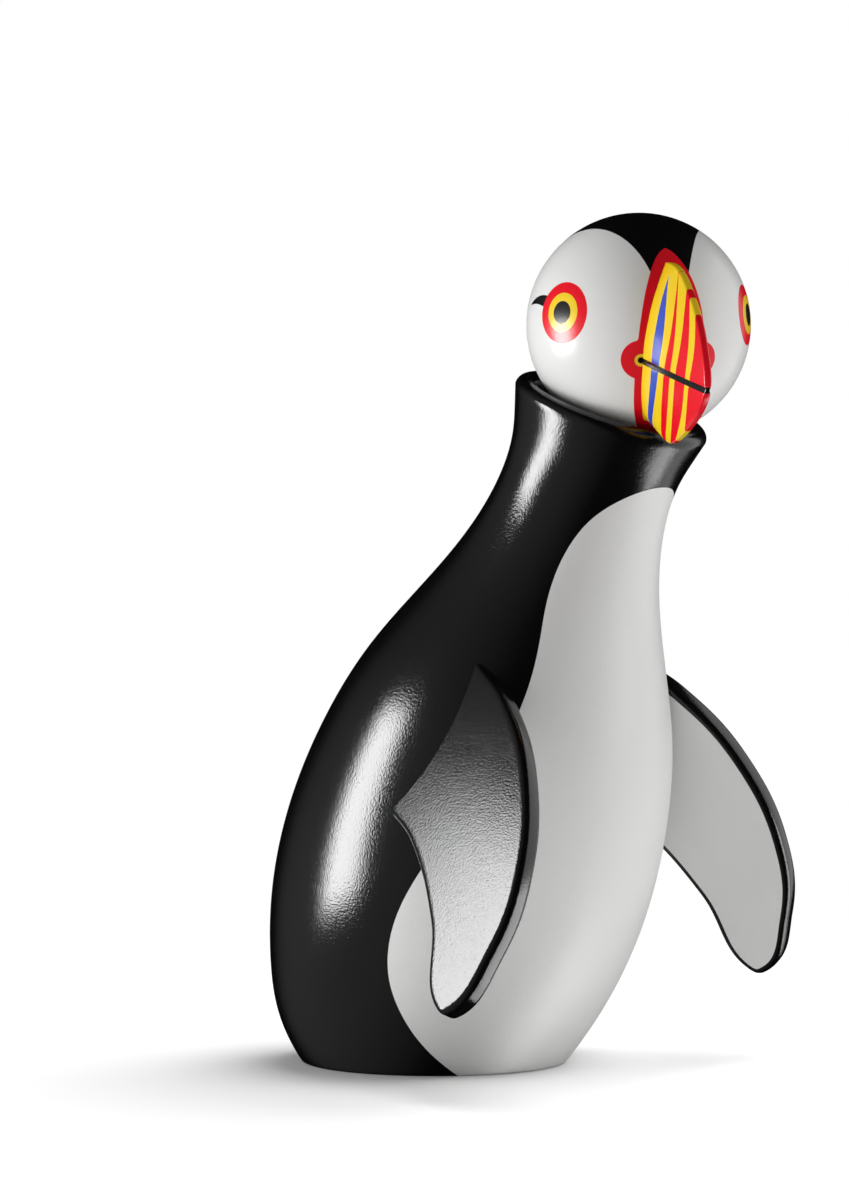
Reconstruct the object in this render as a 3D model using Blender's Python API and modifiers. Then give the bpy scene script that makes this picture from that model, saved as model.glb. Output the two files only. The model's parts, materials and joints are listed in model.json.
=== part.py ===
"""Turned wooden puffin with a ball head that turns, tilts and nods on a spring-loaded swivel.

Metres, +Z up. The bird looks along -Y, its left wing is at +X, and the origin is the point
where the leaning axis of the turned body meets the surface that the bird stands on.
"""
import math

import bmesh
import bpy
from mathutils import Matrix, Vector

MM = 0.001

# General clearances
SEAT_GAP = 0.3 * MM            # between glued or resting faces
RUN_GAP = 0.2 * MM             # between turning faces
OVERCUT = 2.0 * MM             # how far a cutter runs past the face that it opens

# Body: a teardrop turned on an axis that leans forward, then sawn level underneath
LEAN = math.radians(21.4)
BODY_WAIST_POINTS = [          # station along the axis, radius there
    (-14.0 * MM, 6.6 * MM),
    (-8.0 * MM, 13.8 * MM),
    (0.0 * MM, 22.1 * MM),
    (10.0 * MM, 27.5 * MM),
    (25.0 * MM, 31.5 * MM),
    (40.0 * MM, 32.6 * MM),
    (55.0 * MM, 31.2 * MM),
    (70.0 * MM, 27.4 * MM),
    (90.0 * MM, 18.9 * MM),
    (105.0 * MM, 14.9 * MM),
    (114.0 * MM, 15.0 * MM),
]
BODY_ROUND_END = -17.0 * MM    # station of the bottom pole before it is sawn off
PROFILE_STEPS = 3              # points worked out between two of the points above
BODY_TURN_STEPS = 56

# Neck: a flared lip with a rounded crest round a shallow dish
LIP_RADIUS = 17.0 * MM
LIP_THICKNESS = 3.4 * MM
LIP_CREST_STATION = 123.5 * MM
LIP_ROOT_DEPTH = 3.7 * MM      # below the crest, where the neck starts to flare
LIP_FLARE = 0.55 * MM          # how far the lip stands out from there
LIP_STEPS = 6
DISH_FLOOR_DEPTH = 6.5 * MM
SEAT_ANGLE = math.radians(32.0)   # of the seat's touching circle, from the neck's axis
SEAT_WIDTH = 2.4 * MM

# Head: a standard turned ball
BALL_RADIUS = 19.0 * MM
BALL_STATION = 137.5 * MM
HEAD_YAW = math.radians(37.5)     # towards the bird's right
HEAD_PITCH = math.radians(10.5)   # the eyes look this far above level
BALL_SEGMENTS = 48
BALL_RINGS = 24

# Beak: a deep, thin wedge, glued and dowelled to the ball
BEAK_DROOP = math.radians(28.5)   # of the mouth line below the way the eyes look
BEAK_LENGTH = 19.7 * MM           # from the ball's surface to the tip, along the mouth line
BEAK_ROOT_HALF_WIDTH = 4.7 * MM
BEAK_RIDGE_HALF_WIDTH = 0.7 * MM
BEAK_FULLNESS = 1.15              # above 1, how long the sides stay full before they narrow
BEAK_TOP_POINTS = [            # along the mouth line from the ball's centre, height above it
    (10.0 * MM, 13.4 * MM),
    (14.0 * MM, 14.6 * MM),
    (18.5 * MM, 14.9 * MM),
    (25.0 * MM, 12.9 * MM),
    (31.2 * MM, 9.6 * MM),
    (36.2 * MM, 5.0 * MM),
]
BEAK_BOTTOM_POINTS = [         # along the mouth line, depth below it
    (10.0 * MM, 12.2 * MM),
    (14.2 * MM, 12.7 * MM),
    (18.5 * MM, 13.5 * MM),
    (22.5 * MM, 13.8 * MM),
    (27.0 * MM, 12.0 * MM),
    (31.3 * MM, 9.0 * MM),
    (35.8 * MM, 5.0 * MM),
]
BEAK_SECTIONS = 11
BEAK_SECTION_STEPS = 9
BEAK_DOWEL_RADIUS = 2.0 * MM
BEAK_DOWEL_LENGTH = 15.0 * MM

# Wings: flat plates with a scribed root edge, splayed out and down
WING_THICKNESS = 3.8 * MM
WING_SPLAY = math.radians(21.9)
WING_TOE = math.radians(9.0)
WING_OFFSET = 43.3 * MM           # of the outer face from the origin
WING_EDGE_ROUND = 1.1 * MM
WING_OUTLINE = [               # forward, up, in the plane of the wing, from the root's top round
    (31.6 * MM, 63.7 * MM),
    (38.2 * MM, 58.9 * MM),
    (45.3 * MM, 53.7 * MM),
    (55.2 * MM, 41.0 * MM),
    (60.5 * MM, 23.5 * MM),
    (59.1 * MM, 10.3 * MM),
    (52.6 * MM, -0.9 * MM),
    (49.8 * MM, -0.4 * MM),
    (42.8 * MM, 14.2 * MM),
    (33.0 * MM, 27.2 * MM),
    (22.1 * MM, 35.6 * MM),
]
WING_ROOT_INNER = (14.0 * MM, 52.0 * MM)   # a point of the outline that the scribing cuts away
WING_PIN_RADIUS = 1.0 * MM
WING_PIN_LENGTH = 12.0 * MM
WING_PINS = {                  # where each pin crosses the root edge: forward, up
    "upper": (38.4 * MM, 50.6 * MM),
    "lower": (33.8 * MM, 40.2 * MM),
}
WING_PIN_SLOPE = math.radians(157.0)       # the way the pins run into the body, from forward

# Swivel inside the neck and the ball
SPINDLE_RADIUS = 1.1 * MM
SPINDLE_FOOT_STATION = 43.0 * MM
FORK_HALF_WIDTH = 2.6 * MM
FORK_HALF_SPREAD = 4.0 * MM
FORK_SLOT_HALF = 2.2 * MM
FORK_TOP = 2.6 * MM
FORK_SLOT_DEPTH = 3.4 * MM
FORK_BRIDGE = 2.2 * MM
BARREL_RADIUS = 1.5 * MM
BARREL_HALF_LENGTH = 3.9 * MM
HEAD_PIN_RADIUS = 0.7 * MM
HEAD_PIN_LENGTH = 26.0 * MM
BALL_BORE_RADIUS = 7.0 * MM
BALL_BORE_TOP = 5.5 * MM          # how far the bore runs past the ball's centre
BALL_BORE_NOD = math.radians(7.0)     # half of the way that the head nods up from here

# Spring that draws the ball onto its seat
CHAMBER_RADIUS = 6.6 * MM
CHAMBER_TOP_STATION = 70.0 * MM
SPRING_RADIUS = 3.4 * MM
SPRING_WIRE_RADIUS = 0.45 * MM
SPRING_TURNS = 7
SPRING_LENGTH = 18.0 * MM
SPRING_POINTS_PER_TURN = 10
WASHER_RADIUS = 4.6 * MM
WASHER_THICKNESS = 1.0 * MM
NUT_RADIUS = 3.2 * MM
NUT_HEIGHT = 3.0 * MM
PLUG_LENGTH = 9.0 * MM

# Mesh quality
ROUND_STEPS = 32
PIN_STEPS = 20
WING_CURVE_STEPS = 6
SHARP_ANGLE = math.radians(35.0)      # edges that turn more than this are shaded sharp
ROUNDED_ANGLE = math.radians(60.0)    # edges of the wing plates that turn more get rounded
STRAIGHT_ANGLE = math.radians(0.5)    # points of an outline that turn less are dropped
MERGE_DISTANCE = 0.00001

for leftover in list(bpy.data.objects):
    bpy.data.objects.remove(leftover, do_unlink=True)


def new_collection(name):
    """A collection linked to the scene."""
    collection = bpy.data.collections.new(name)
    bpy.context.scene.collection.children.link(collection)
    return collection


PARTS = new_collection("puffin")
CUTTERS = new_collection("puffin_cutters")


def material(name, colour, roughness, metallic=0.0):
    """A Principled material with one colour."""
    made = bpy.data.materials.new(name)
    made.use_nodes = True
    shader = made.node_tree.nodes["Principled BSDF"]
    shader.inputs["Base Color"].default_value = (*colour, 1.0)
    shader.inputs["Roughness"].default_value = roughness
    shader.inputs["Metallic"].default_value = metallic
    return made


BLACK_LACQUER = (0.012, 0.012, 0.013)
WHITE_LACQUER = (0.80, 0.80, 0.78)
BEAK_RED = (0.72, 0.02, 0.03)
BEECH = (0.62, 0.44, 0.27)
STEEL = (0.55, 0.55, 0.56)
BRASS = (0.72, 0.52, 0.20)


def place(obj, parent, collection, colour=None, roughness=0.3, metallic=0.0):
    """Put an object in its collection, under its parent, with its own material."""
    for old in list(obj.users_collection):
        old.objects.unlink(obj)
    collection.objects.link(obj)
    obj.parent = parent
    if colour is not None:
        obj.data.materials.append(material(obj.name + "_finish", colour, roughness, metallic))
    if collection is CUTTERS:
        obj.hide_render = True
        obj.display_type = "WIRE"
    return obj


def empty(name, matrix, parent=None):
    """An empty that carries pieces at a place and turn of its own."""
    made = bpy.data.objects.new(name, None)
    PARTS.objects.link(made)
    made.parent = parent
    made.matrix_local = matrix
    return made


def mesh_object(name, bm):
    """An object from a bmesh, smooth apart from its sharp edges."""
    mesh = bpy.data.meshes.new(name)
    bmesh.ops.recalc_face_normals(bm, faces=bm.faces)
    bm.to_mesh(mesh)
    bm.free()
    mesh.shade_smooth()
    mesh.set_sharp_from_angle(angle=SHARP_ANGLE)
    return bpy.data.objects.new(name, mesh)


def cylinder(name, radius, low, high, steps=ROUND_STEPS):
    """A closed cylinder along local Z, from low to high."""
    bm = bmesh.new()
    bmesh.ops.create_cone(bm, cap_ends=True, segments=steps, radius1=radius, radius2=radius,
                          depth=high - low)
    bmesh.ops.translate(bm, verts=bm.verts, vec=(0.0, 0.0, (low + high) / 2))
    return mesh_object(name, bm)


def box(name, low, high):
    """A closed box between two corners."""
    bm = bmesh.new()
    bmesh.ops.create_cube(bm, size=1.0)
    size = Vector(high) - Vector(low)
    bmesh.ops.scale(bm, verts=bm.verts, vec=size)
    bmesh.ops.translate(bm, verts=bm.verts, vec=(Vector(low) + Vector(high)) / 2)
    return mesh_object(name, bm)


def ball(name, radius, segments=BALL_SEGMENTS, rings=BALL_RINGS):
    """A closed sphere about the local origin."""
    bm = bmesh.new()
    bmesh.ops.create_uvsphere(bm, u_segments=segments, v_segments=rings, radius=radius)
    return mesh_object(name, bm)


def boolean(obj, cutter, operation="DIFFERENCE"):
    """Cut one object with another, or join it to another, by a live modifier."""
    modifier = obj.modifiers.new(cutter.name, "BOOLEAN")
    modifier.operation = operation
    modifier.object = cutter
    modifier.solver = "EXACT"


def turned(name, profile, steps):
    """A solid turned about local Z. The profile is (radius, height) down its outer side."""
    bm = bmesh.new()
    corners = [bm.verts.new((radius, 0.0, height)) for radius, height in profile]
    for first, second in zip(corners, corners[1:]):
        bm.edges.new((first, second))
    mesh = bpy.data.meshes.new(name)
    bm.to_mesh(mesh)
    bm.free()
    obj = bpy.data.objects.new(name, mesh)
    screw = obj.modifiers.new("turning", "SCREW")
    screw.axis = "Z"
    screw.steps = steps
    screw.render_steps = steps
    screw.use_merge_vertices = True
    screw.merge_threshold = MERGE_DISTANCE
    screw.use_smooth_shade = True
    return obj


def smooth_line(points, steps):
    """Points of the Catmull-Rom curve through the given ones, the given ones among them."""
    ends = [points[0], *points, points[-1]]
    line = []
    for index in range(len(points) - 1):
        before, start, end, after = (Vector(point) for point in ends[index:index + 4])
        for step in range(steps + 1):
            t = step / (steps + 1)
            line.append((2 * start + (end - before) * t
                         + (2 * before - 5 * start + 4 * end - after) * t * t
                         + (3 * start - before - 3 * end + after) * t ** 3) / 2)
    line.append(Vector(points[-1]))
    return line


def arc(centre, radius, start, end, steps):
    """Points (radius, height) on an arc about a centre, both ends included."""
    return [(centre[0] + radius * math.cos(start + (end - start) * step / steps),
             centre[1] + radius * math.sin(start + (end - start) * step / steps))
            for step in range(steps + 1)]


# Frames that carry the pieces. Each moving one has its origin at the ball's centre
body_axis = empty("body_axis", Matrix.Rotation(LEAN, 4, "X"))
ball_centre = Matrix.Translation((0.0, 0.0, BALL_STATION))
head_turned = Matrix.Rotation(-HEAD_YAW, 4, "Z") @ Matrix.Rotation(-HEAD_PITCH, 4, "X")
head_in_lean = Matrix.Rotation(-LEAN, 4, "X") @ head_turned
eye_line = head_in_lean.to_3x3().col[0]
HEAD_TURN = math.atan2(eye_line.y, eye_line.x)
HEAD_TILT = math.asin(eye_line.z)
turn_pivot = empty("turn_pivot", ball_centre @ Matrix.Rotation(HEAD_TURN, 4, "Z"), body_axis)
tilt_pivot = empty("tilt_pivot", Matrix.Rotation(-HEAD_TILT, 4, "Y"), turn_pivot)
nod_in_tilt = (ball_centre @ Matrix.Rotation(HEAD_TURN, 4, "Z")
               @ Matrix.Rotation(-HEAD_TILT, 4, "Y")).inverted() @ ball_centre @ head_in_lean
head_pivot = empty("head_pivot", nod_in_tilt, tilt_pivot)
beak_axis = empty("beak_axis", Matrix.Rotation(BEAK_DROOP, 4, "X"), head_pivot)


def body_outline(swell=0.0):
    """The body's outer side from its bottom pole up to below the lip, as (radius, station)."""
    root = (LIP_CREST_STATION - LIP_ROOT_DEPTH, LIP_RADIUS - LIP_FLARE)
    shoulder = (LIP_CREST_STATION - LIP_THICKNESS / 2, LIP_RADIUS)
    side = smooth_line([*BODY_WAIST_POINTS, root, shoulder], PROFILE_STEPS)
    return [(0.0, BODY_ROUND_END - swell)] + [(point.y + swell, point.x) for point in side]


def make_body():
    """The turned body with its lip, its dish, its level foot and its bores."""
    crest = (LIP_RADIUS - LIP_THICKNESS / 2, LIP_CREST_STATION - LIP_THICKNESS / 2)
    lip = arc(crest, LIP_THICKNESS / 2, 0.0, math.pi, LIP_STEPS)[1:]
    seat_sphere = BALL_RADIUS + SEAT_GAP
    touch = (seat_sphere * math.sin(SEAT_ANGLE),
             BALL_STATION - seat_sphere * math.cos(SEAT_ANGLE))
    half_seat = (SEAT_WIDTH / 2 * math.cos(SEAT_ANGLE), SEAT_WIDTH / 2 * math.sin(SEAT_ANGLE))
    seat_outer = (touch[0] + half_seat[0], touch[1] + half_seat[1])
    seat_inner = (touch[0] - half_seat[0], touch[1] - half_seat[1])
    floor = LIP_CREST_STATION - DISH_FLOOR_DEPTH
    profile = body_outline() + lip + [seat_outer, seat_inner, (seat_inner[0], floor), (0.0, floor)]
    body = place(turned("body", list(reversed(profile)), BODY_TURN_STEPS), body_axis, PARTS,
                 BLACK_LACQUER, 0.12)
    reach = 2 * BALL_STATION
    ground = place(box("ground_cut", (-reach, -reach, -reach), (reach, reach, 0.0)), None, CUTTERS)
    chamber = place(cylinder("chamber_cut", CHAMBER_RADIUS, BODY_ROUND_END - OVERCUT,
                             CHAMBER_TOP_STATION), body_axis, CUTTERS)
    neck_bore = place(cylinder("neck_bore_cut", SPINDLE_RADIUS + RUN_GAP,
                               CHAMBER_TOP_STATION - OVERCUT, floor + OVERCUT, PIN_STEPS),
                      body_axis, CUTTERS)
    for cutter in (ground, chamber, neck_bore):
        boolean(body, cutter)
    return body, ground


def make_head():
    """The ball, bored from below for the swivel and from the side for its pin."""
    head = place(ball("head_ball", BALL_RADIUS), head_pivot, PARTS, WHITE_LACQUER, 0.12)
    # The bore points straight down the neck when the head is in the middle of its nod and tilt
    down = head_pivot_world.inverted() @ (body_axis_world @ Vector((0.0, 0.0, -1.0)))
    bore_slope = math.atan2(down.y, -down.z) + BALL_BORE_NOD
    bore = cylinder("ball_bore_cut", BALL_BORE_RADIUS, -BALL_RADIUS - OVERCUT, BALL_BORE_TOP)
    place(bore, head_pivot, CUTTERS).rotation_euler = (bore_slope, 0.0, 0.0)
    pin_hole = cylinder("head_pin_cut", HEAD_PIN_RADIUS + RUN_GAP, -HEAD_PIN_LENGTH / 2 - SEAT_GAP,
                        HEAD_PIN_LENGTH / 2 + SEAT_GAP, PIN_STEPS)
    place(pin_hole, head_pivot, CUTTERS).rotation_euler = (0.0, math.pi / 2, 0.0)
    boolean(head, bore)
    boolean(head, pin_hole)
    pin = cylinder("head_pin", HEAD_PIN_RADIUS, -HEAD_PIN_LENGTH / 2, HEAD_PIN_LENGTH / 2, PIN_STEPS)
    place(pin, head_pivot, PARTS, STEEL, 0.3, 1.0).rotation_euler = (0.0, math.pi / 2, 0.0)
    return head


def beak_edge(points, along):
    """The height of the beak's top or bottom edge at one place along the mouth line."""
    tip = BALL_RADIUS + BEAK_LENGTH
    line = smooth_line([*points, (tip, 0.0)], PROFILE_STEPS)
    for first, second in zip(line, line[1:]):
        if first.x <= along <= second.x:
            share = (along - first.x) / (second.x - first.x)
            return first.y + (second.y - first.y) * share
    return 0.0


def make_beak(head):
    """The beak, lofted through lens-shaped sections that narrow to a blunt ridge all round."""
    start = BEAK_TOP_POINTS[0][0]
    tip = BALL_RADIUS + BEAK_LENGTH
    rings = []
    for index in range(BEAK_SECTIONS):
        # Sections crowd together towards the tip, where the edge turns down
        share = math.sin(math.pi / 2 * index / BEAK_SECTIONS)
        along = start + (tip - start) * share
        top = beak_edge(BEAK_TOP_POINTS, along)
        bottom = -beak_edge(BEAK_BOTTOM_POINTS, along)
        out = max(along - BALL_RADIUS, 0.0) / BEAK_LENGTH
        width = (BEAK_ROOT_HALF_WIDTH - BEAK_RIDGE_HALF_WIDTH) * (1.0 - out ** BEAK_FULLNESS)
        side = []
        for step in range(BEAK_SECTION_STEPS + 1):
            height = -math.cos(math.pi * step / BEAK_SECTION_STEPS)
            lens = BEAK_RIDGE_HALF_WIDTH + width * (1.0 - height * height)
            middle = (top + bottom) / 2
            side.append((lens, -along, middle + (top - bottom) / 2 * height))
        rings.append(side + [(-x, y, z) for x, y, z in reversed(side)])
    bm = bmesh.new()
    loops = [[bm.verts.new(point) for point in ring] for ring in rings]
    count = len(loops[0])
    for first, second in zip(loops, loops[1:]):
        for corner in range(count):
            following = (corner + 1) % count
            bm.faces.new((first[corner], first[following], second[following], second[corner]))
    bm.faces.new(reversed(loops[0]))
    tip_edge = [bm.verts.new((side * BEAK_RIDGE_HALF_WIDTH, -tip, 0.0)) for side in (1, -1)]
    last = loops[-1]
    half = count // 2
    for corner in range(half - 1):
        bm.faces.new((last[corner], last[corner + 1], tip_edge[0]))
        bm.faces.new((last[half + corner], last[half + corner + 1], tip_edge[1]))
    bm.faces.new((last[half - 1], last[half], tip_edge[1], tip_edge[0]))
    bm.faces.new((last[count - 1], last[0], tip_edge[0], tip_edge[1]))
    beak = place(mesh_object("beak", bm), beak_axis, PARTS, BEAK_RED, 0.15)
    seat = place(ball("beak_seat_cut", BALL_RADIUS + SEAT_GAP), beak_axis, CUTTERS)
    boolean(beak, seat)
    middle = -BALL_RADIUS
    hole = cylinder("beak_dowel_cut", BEAK_DOWEL_RADIUS + RUN_GAP,
                    -BEAK_DOWEL_LENGTH / 2 - SEAT_GAP, BEAK_DOWEL_LENGTH / 2 + SEAT_GAP, PIN_STEPS)
    dowel = cylinder("beak_dowel", BEAK_DOWEL_RADIUS, -BEAK_DOWEL_LENGTH / 2,
                     BEAK_DOWEL_LENGTH / 2, PIN_STEPS)
    place(hole, beak_axis, CUTTERS)
    place(dowel, beak_axis, PARTS, BEECH, 0.6)
    for piece in (hole, dowel):
        piece.location = (0.0, middle, 0.0)
        piece.rotation_euler = (math.pi / 2, 0.0, 0.0)
    boolean(beak, hole)
    boolean(head, hole)


def wing_frame(side):
    """The place of a wing's middle plane. Local X is forward and local Y is up in its plane."""
    forward = Vector((side * math.sin(WING_TOE), -math.cos(WING_TOE), 0.0))
    normal = Vector((side * math.cos(WING_SPLAY) * math.cos(WING_TOE),
                     math.cos(WING_SPLAY) * math.sin(WING_TOE), math.sin(WING_SPLAY)))
    up = side * forward.cross(normal)
    frame = Matrix((forward, up, forward.cross(up))).transposed().to_4x4()
    frame.translation = normal * (WING_OFFSET - WING_THICKNESS / 2)
    return frame


def wing_blank(name):
    """The wing's outline, cut from a plate as thick as the wing, with its edges rounded."""
    curve = bpy.data.curves.new(name, "CURVE")
    curve.dimensions = "2D"
    curve.fill_mode = "BOTH"
    curve.extrude = WING_THICKNESS / 2
    curve.resolution_u = WING_CURVE_STEPS
    spline = curve.splines.new("BEZIER")
    outline = [*WING_OUTLINE, WING_ROOT_INNER]
    spline.bezier_points.add(len(outline) - 1)
    spline.use_cyclic_u = True
    for point, (forward, up) in zip(spline.bezier_points, outline):
        point.co = (forward, up, 0.0)
        point.handle_left_type = "AUTO"
        point.handle_right_type = "AUTO"
    flat = bpy.data.objects.new(name + "_flat", curve)
    bpy.context.scene.collection.objects.link(flat)
    bpy.context.view_layer.update()
    mesh = bpy.data.meshes.new_from_object(flat.evaluated_get(bpy.context.evaluated_depsgraph_get()))
    bpy.data.objects.remove(flat, do_unlink=True)
    bm = bmesh.new()
    bm.from_mesh(mesh)
    bpy.data.meshes.remove(mesh)
    bmesh.ops.remove_doubles(bm, verts=bm.verts, dist=MERGE_DISTANCE)
    bmesh.ops.dissolve_limit(bm, angle_limit=STRAIGHT_ANGLE, verts=bm.verts, edges=bm.edges)
    obj = mesh_object(name, bm)
    rounding = obj.modifiers.new("rounded_edges", "BEVEL")
    rounding.width = WING_EDGE_ROUND
    rounding.segments = 2
    rounding.limit_method = "ANGLE"
    rounding.angle_limit = ROUNDED_ANGLE
    return obj


def make_wing(name, side, body, scribe):
    """A wing, scribed to the body, and the pins in its root edge."""
    frame = wing_frame(side)
    wing = place(wing_blank(name), None, PARTS, BLACK_LACQUER, 0.12)
    wing.matrix_world = frame
    boolean(wing, scribe)
    for level, (forward, up) in WING_PINS.items():
        pin_name = name + "_pin_" + level
        pin = cylinder(pin_name, WING_PIN_RADIUS, -WING_PIN_LENGTH / 2, WING_PIN_LENGTH / 2,
                       PIN_STEPS)
        hole = cylinder(pin_name + "_cut", WING_PIN_RADIUS + RUN_GAP,
                        -WING_PIN_LENGTH / 2 - SEAT_GAP, WING_PIN_LENGTH / 2 + SEAT_GAP, PIN_STEPS)
        place(pin, None, PARTS, BEECH, 0.6)
        place(hole, None, CUTTERS)
        lying = Matrix.Rotation(WING_PIN_SLOPE, 4, "Z") @ Matrix.Rotation(math.pi / 2, 4, "Y")
        for piece in (pin, hole):
            piece.matrix_world = frame @ Matrix.Translation((forward, up, 0.0)) @ lying
        boolean(wing, hole)
        boolean(body, hole)


def make_swivel():
    """The spindle with its fork, and the barrel that the fork carries across the ball's centre."""
    spindle = place(cylinder("neck_spindle", SPINDLE_RADIUS, SPINDLE_FOOT_STATION - BALL_STATION,
                             -FORK_SLOT_DEPTH - FORK_BRIDGE / 2, PIN_STEPS),
                    turn_pivot, PARTS, STEEL, 0.3, 1.0)
    fork = box("fork_join", (-FORK_HALF_WIDTH, -FORK_HALF_SPREAD, -FORK_SLOT_DEPTH - FORK_BRIDGE),
               (FORK_HALF_WIDTH, FORK_HALF_SPREAD, FORK_TOP))
    slot = box("fork_slot_cut", (-FORK_HALF_WIDTH - OVERCUT, -FORK_SLOT_HALF, -FORK_SLOT_DEPTH),
               (FORK_HALF_WIDTH + OVERCUT, FORK_SLOT_HALF, FORK_TOP + OVERCUT))
    hole = cylinder("fork_hole_cut", BARREL_RADIUS + RUN_GAP, -FORK_HALF_SPREAD - OVERCUT,
                    FORK_HALF_SPREAD + OVERCUT, PIN_STEPS)
    for piece in (fork, slot, hole):
        place(piece, turn_pivot, CUTTERS)
    hole.rotation_euler = (math.pi / 2, 0.0, 0.0)
    boolean(spindle, fork, "UNION")
    boolean(spindle, slot)
    boolean(spindle, hole)
    barrel = cylinder("swivel_barrel", BARREL_RADIUS, -BARREL_HALF_LENGTH, BARREL_HALF_LENGTH,
                      PIN_STEPS)
    place(barrel, tilt_pivot, PARTS, BRASS, 0.3, 1.0).rotation_euler = (math.pi / 2, 0.0, 0.0)
    cross_hole = cylinder("barrel_cross_cut", HEAD_PIN_RADIUS + RUN_GAP, -BARREL_RADIUS - OVERCUT,
                          BARREL_RADIUS + OVERCUT, PIN_STEPS)
    place(cross_hole, tilt_pivot, CUTTERS).rotation_euler = (0.0, math.pi / 2, 0.0)
    boolean(barrel, cross_hole)


def drilled_disc(name, radius, low, high, steps, roughness):
    """A steel disc on the spindle, with a hole that clears it."""
    disc = place(cylinder(name, radius, low, high, steps), turn_pivot, PARTS, STEEL, roughness, 1.0)
    hole = place(cylinder(name + "_cut", SPINDLE_RADIUS + RUN_GAP, low - OVERCUT, high + OVERCUT,
                          PIN_STEPS), turn_pivot, CUTTERS)
    boolean(disc, hole)


def make_spring(top):
    """The open-coiled spring round the spindle, one unbroken wire, under the chamber's top."""
    rise = SPRING_LENGTH - 2 * SPRING_WIRE_RADIUS
    curve = bpy.data.curves.new("tension_spring", "CURVE")
    curve.dimensions = "3D"
    curve.bevel_depth = SPRING_WIRE_RADIUS
    curve.bevel_resolution = 1
    curve.use_fill_caps = True
    count = SPRING_TURNS * SPRING_POINTS_PER_TURN + 1
    spline = curve.splines.new("POLY")
    spline.points.add(count - 1)
    for index, point in enumerate(spline.points):
        angle = 2 * math.pi * index / SPRING_POINTS_PER_TURN
        height = top - SPRING_WIRE_RADIUS - rise * index / (count - 1)
        point.co = (SPRING_RADIUS * math.cos(angle), SPRING_RADIUS * math.sin(angle), height, 1.0)
    spring = bpy.data.objects.new("tension_spring", curve)
    place(spring, turn_pivot, PARTS, STEEL, 0.25, 1.0)
    print("least gap between the spring's turns, mm:",
          round((rise / SPRING_TURNS - 2 * SPRING_WIRE_RADIUS) / MM, 2))


def make_clamp():
    """The spring, its washer and the nut below the neck's shoulder, and the plug under them."""
    spring_top = CHAMBER_TOP_STATION - BALL_STATION - SEAT_GAP
    washer_top = spring_top - SPRING_LENGTH - SEAT_GAP
    nut_top = washer_top - WASHER_THICKNESS - SEAT_GAP
    make_spring(spring_top)
    drilled_disc("spring_washer", WASHER_RADIUS, washer_top - WASHER_THICKNESS, washer_top,
                 ROUND_STEPS, 0.3)
    drilled_disc("spindle_nut", NUT_RADIUS, nut_top - NUT_HEIGHT, nut_top, 6, 0.35)


def make_plug(ground):
    """The wooden plug that closes the spring's chamber, sawn level with the foot."""
    plug = cylinder("base_plug", CHAMBER_RADIUS - SEAT_GAP, BODY_ROUND_END, PLUG_LENGTH)
    place(plug, body_axis, PARTS, BEECH, 0.6)
    boolean(plug, ground)


bpy.context.view_layer.update()
head_pivot_world = head_pivot.matrix_world.to_3x3()
body_axis_world = body_axis.matrix_world.to_3x3()

body, ground = make_body()
head = make_head()
make_beak(head)
scribe_top = [(LIP_RADIUS, LIP_CREST_STATION), (0.0, LIP_CREST_STATION)]
scribe_profile = body_outline(SEAT_GAP) + scribe_top
scribe = place(turned("scribe_cut", list(reversed(scribe_profile)), BODY_TURN_STEPS), body_axis,
               CUTTERS)
make_wing("right_wing", -1, body, scribe)
make_wing("left_wing", 1, body, scribe)
make_swivel()
make_clamp()
make_plug(ground)
bpy.context.view_layer.update()
print("head turn, tilt, degrees:", round(math.degrees(HEAD_TURN), 2), round(math.degrees(HEAD_TILT), 2))
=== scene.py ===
# %% [markdown]
# # A turned wooden puffin
#
# This notebook dresses a small wooden puffin. The solids come from a CAD model: a teardrop
# body turned on a leaning axis, two wings sawn from plate, a turned ball for the head and a
# carved beak. Here each of them gets a fine surface and a coat of gloss lacquer, and a plain
# studio is set up round the bird. The model is loaded first and is never moved: every new
# surface is worked out from the same sizes, so it lands where the solid is.

import json
import math

import bmesh
import bpy
import numpy as np
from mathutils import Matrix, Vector


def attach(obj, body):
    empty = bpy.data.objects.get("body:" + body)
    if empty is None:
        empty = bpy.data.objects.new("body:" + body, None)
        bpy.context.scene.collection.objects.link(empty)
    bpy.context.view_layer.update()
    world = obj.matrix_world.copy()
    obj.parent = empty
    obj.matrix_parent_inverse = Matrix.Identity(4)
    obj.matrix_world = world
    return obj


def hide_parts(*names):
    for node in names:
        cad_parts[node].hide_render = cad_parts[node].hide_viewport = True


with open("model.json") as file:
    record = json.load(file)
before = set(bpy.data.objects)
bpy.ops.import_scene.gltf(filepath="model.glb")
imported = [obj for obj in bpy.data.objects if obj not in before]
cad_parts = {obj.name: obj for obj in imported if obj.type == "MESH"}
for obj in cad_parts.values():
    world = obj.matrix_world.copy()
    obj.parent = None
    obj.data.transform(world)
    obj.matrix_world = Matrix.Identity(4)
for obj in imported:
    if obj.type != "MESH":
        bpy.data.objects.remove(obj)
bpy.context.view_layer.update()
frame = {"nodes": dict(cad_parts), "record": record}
MM = 0.001

# %% [markdown]
# ## Camera
#
# The picture is taken from the bird's right, a hand's breadth above the table, with a long
# lens. The position was found by matching the outlines of the body, the ball and the wings,
# so it is given in metres. A direction is written as an azimuth, 0 in front of the bird and
# positive towards its left, and an elevation.

# %% Camera
CAMERA_PLACE = (-0.6279, -0.4856, 0.0965)
CAMERA_AZIMUTH = -52.54
CAMERA_ELEVATION = 1.13
LENS_MM = 135.0
FRAME_HEIGHT_MM = 36.0


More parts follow.
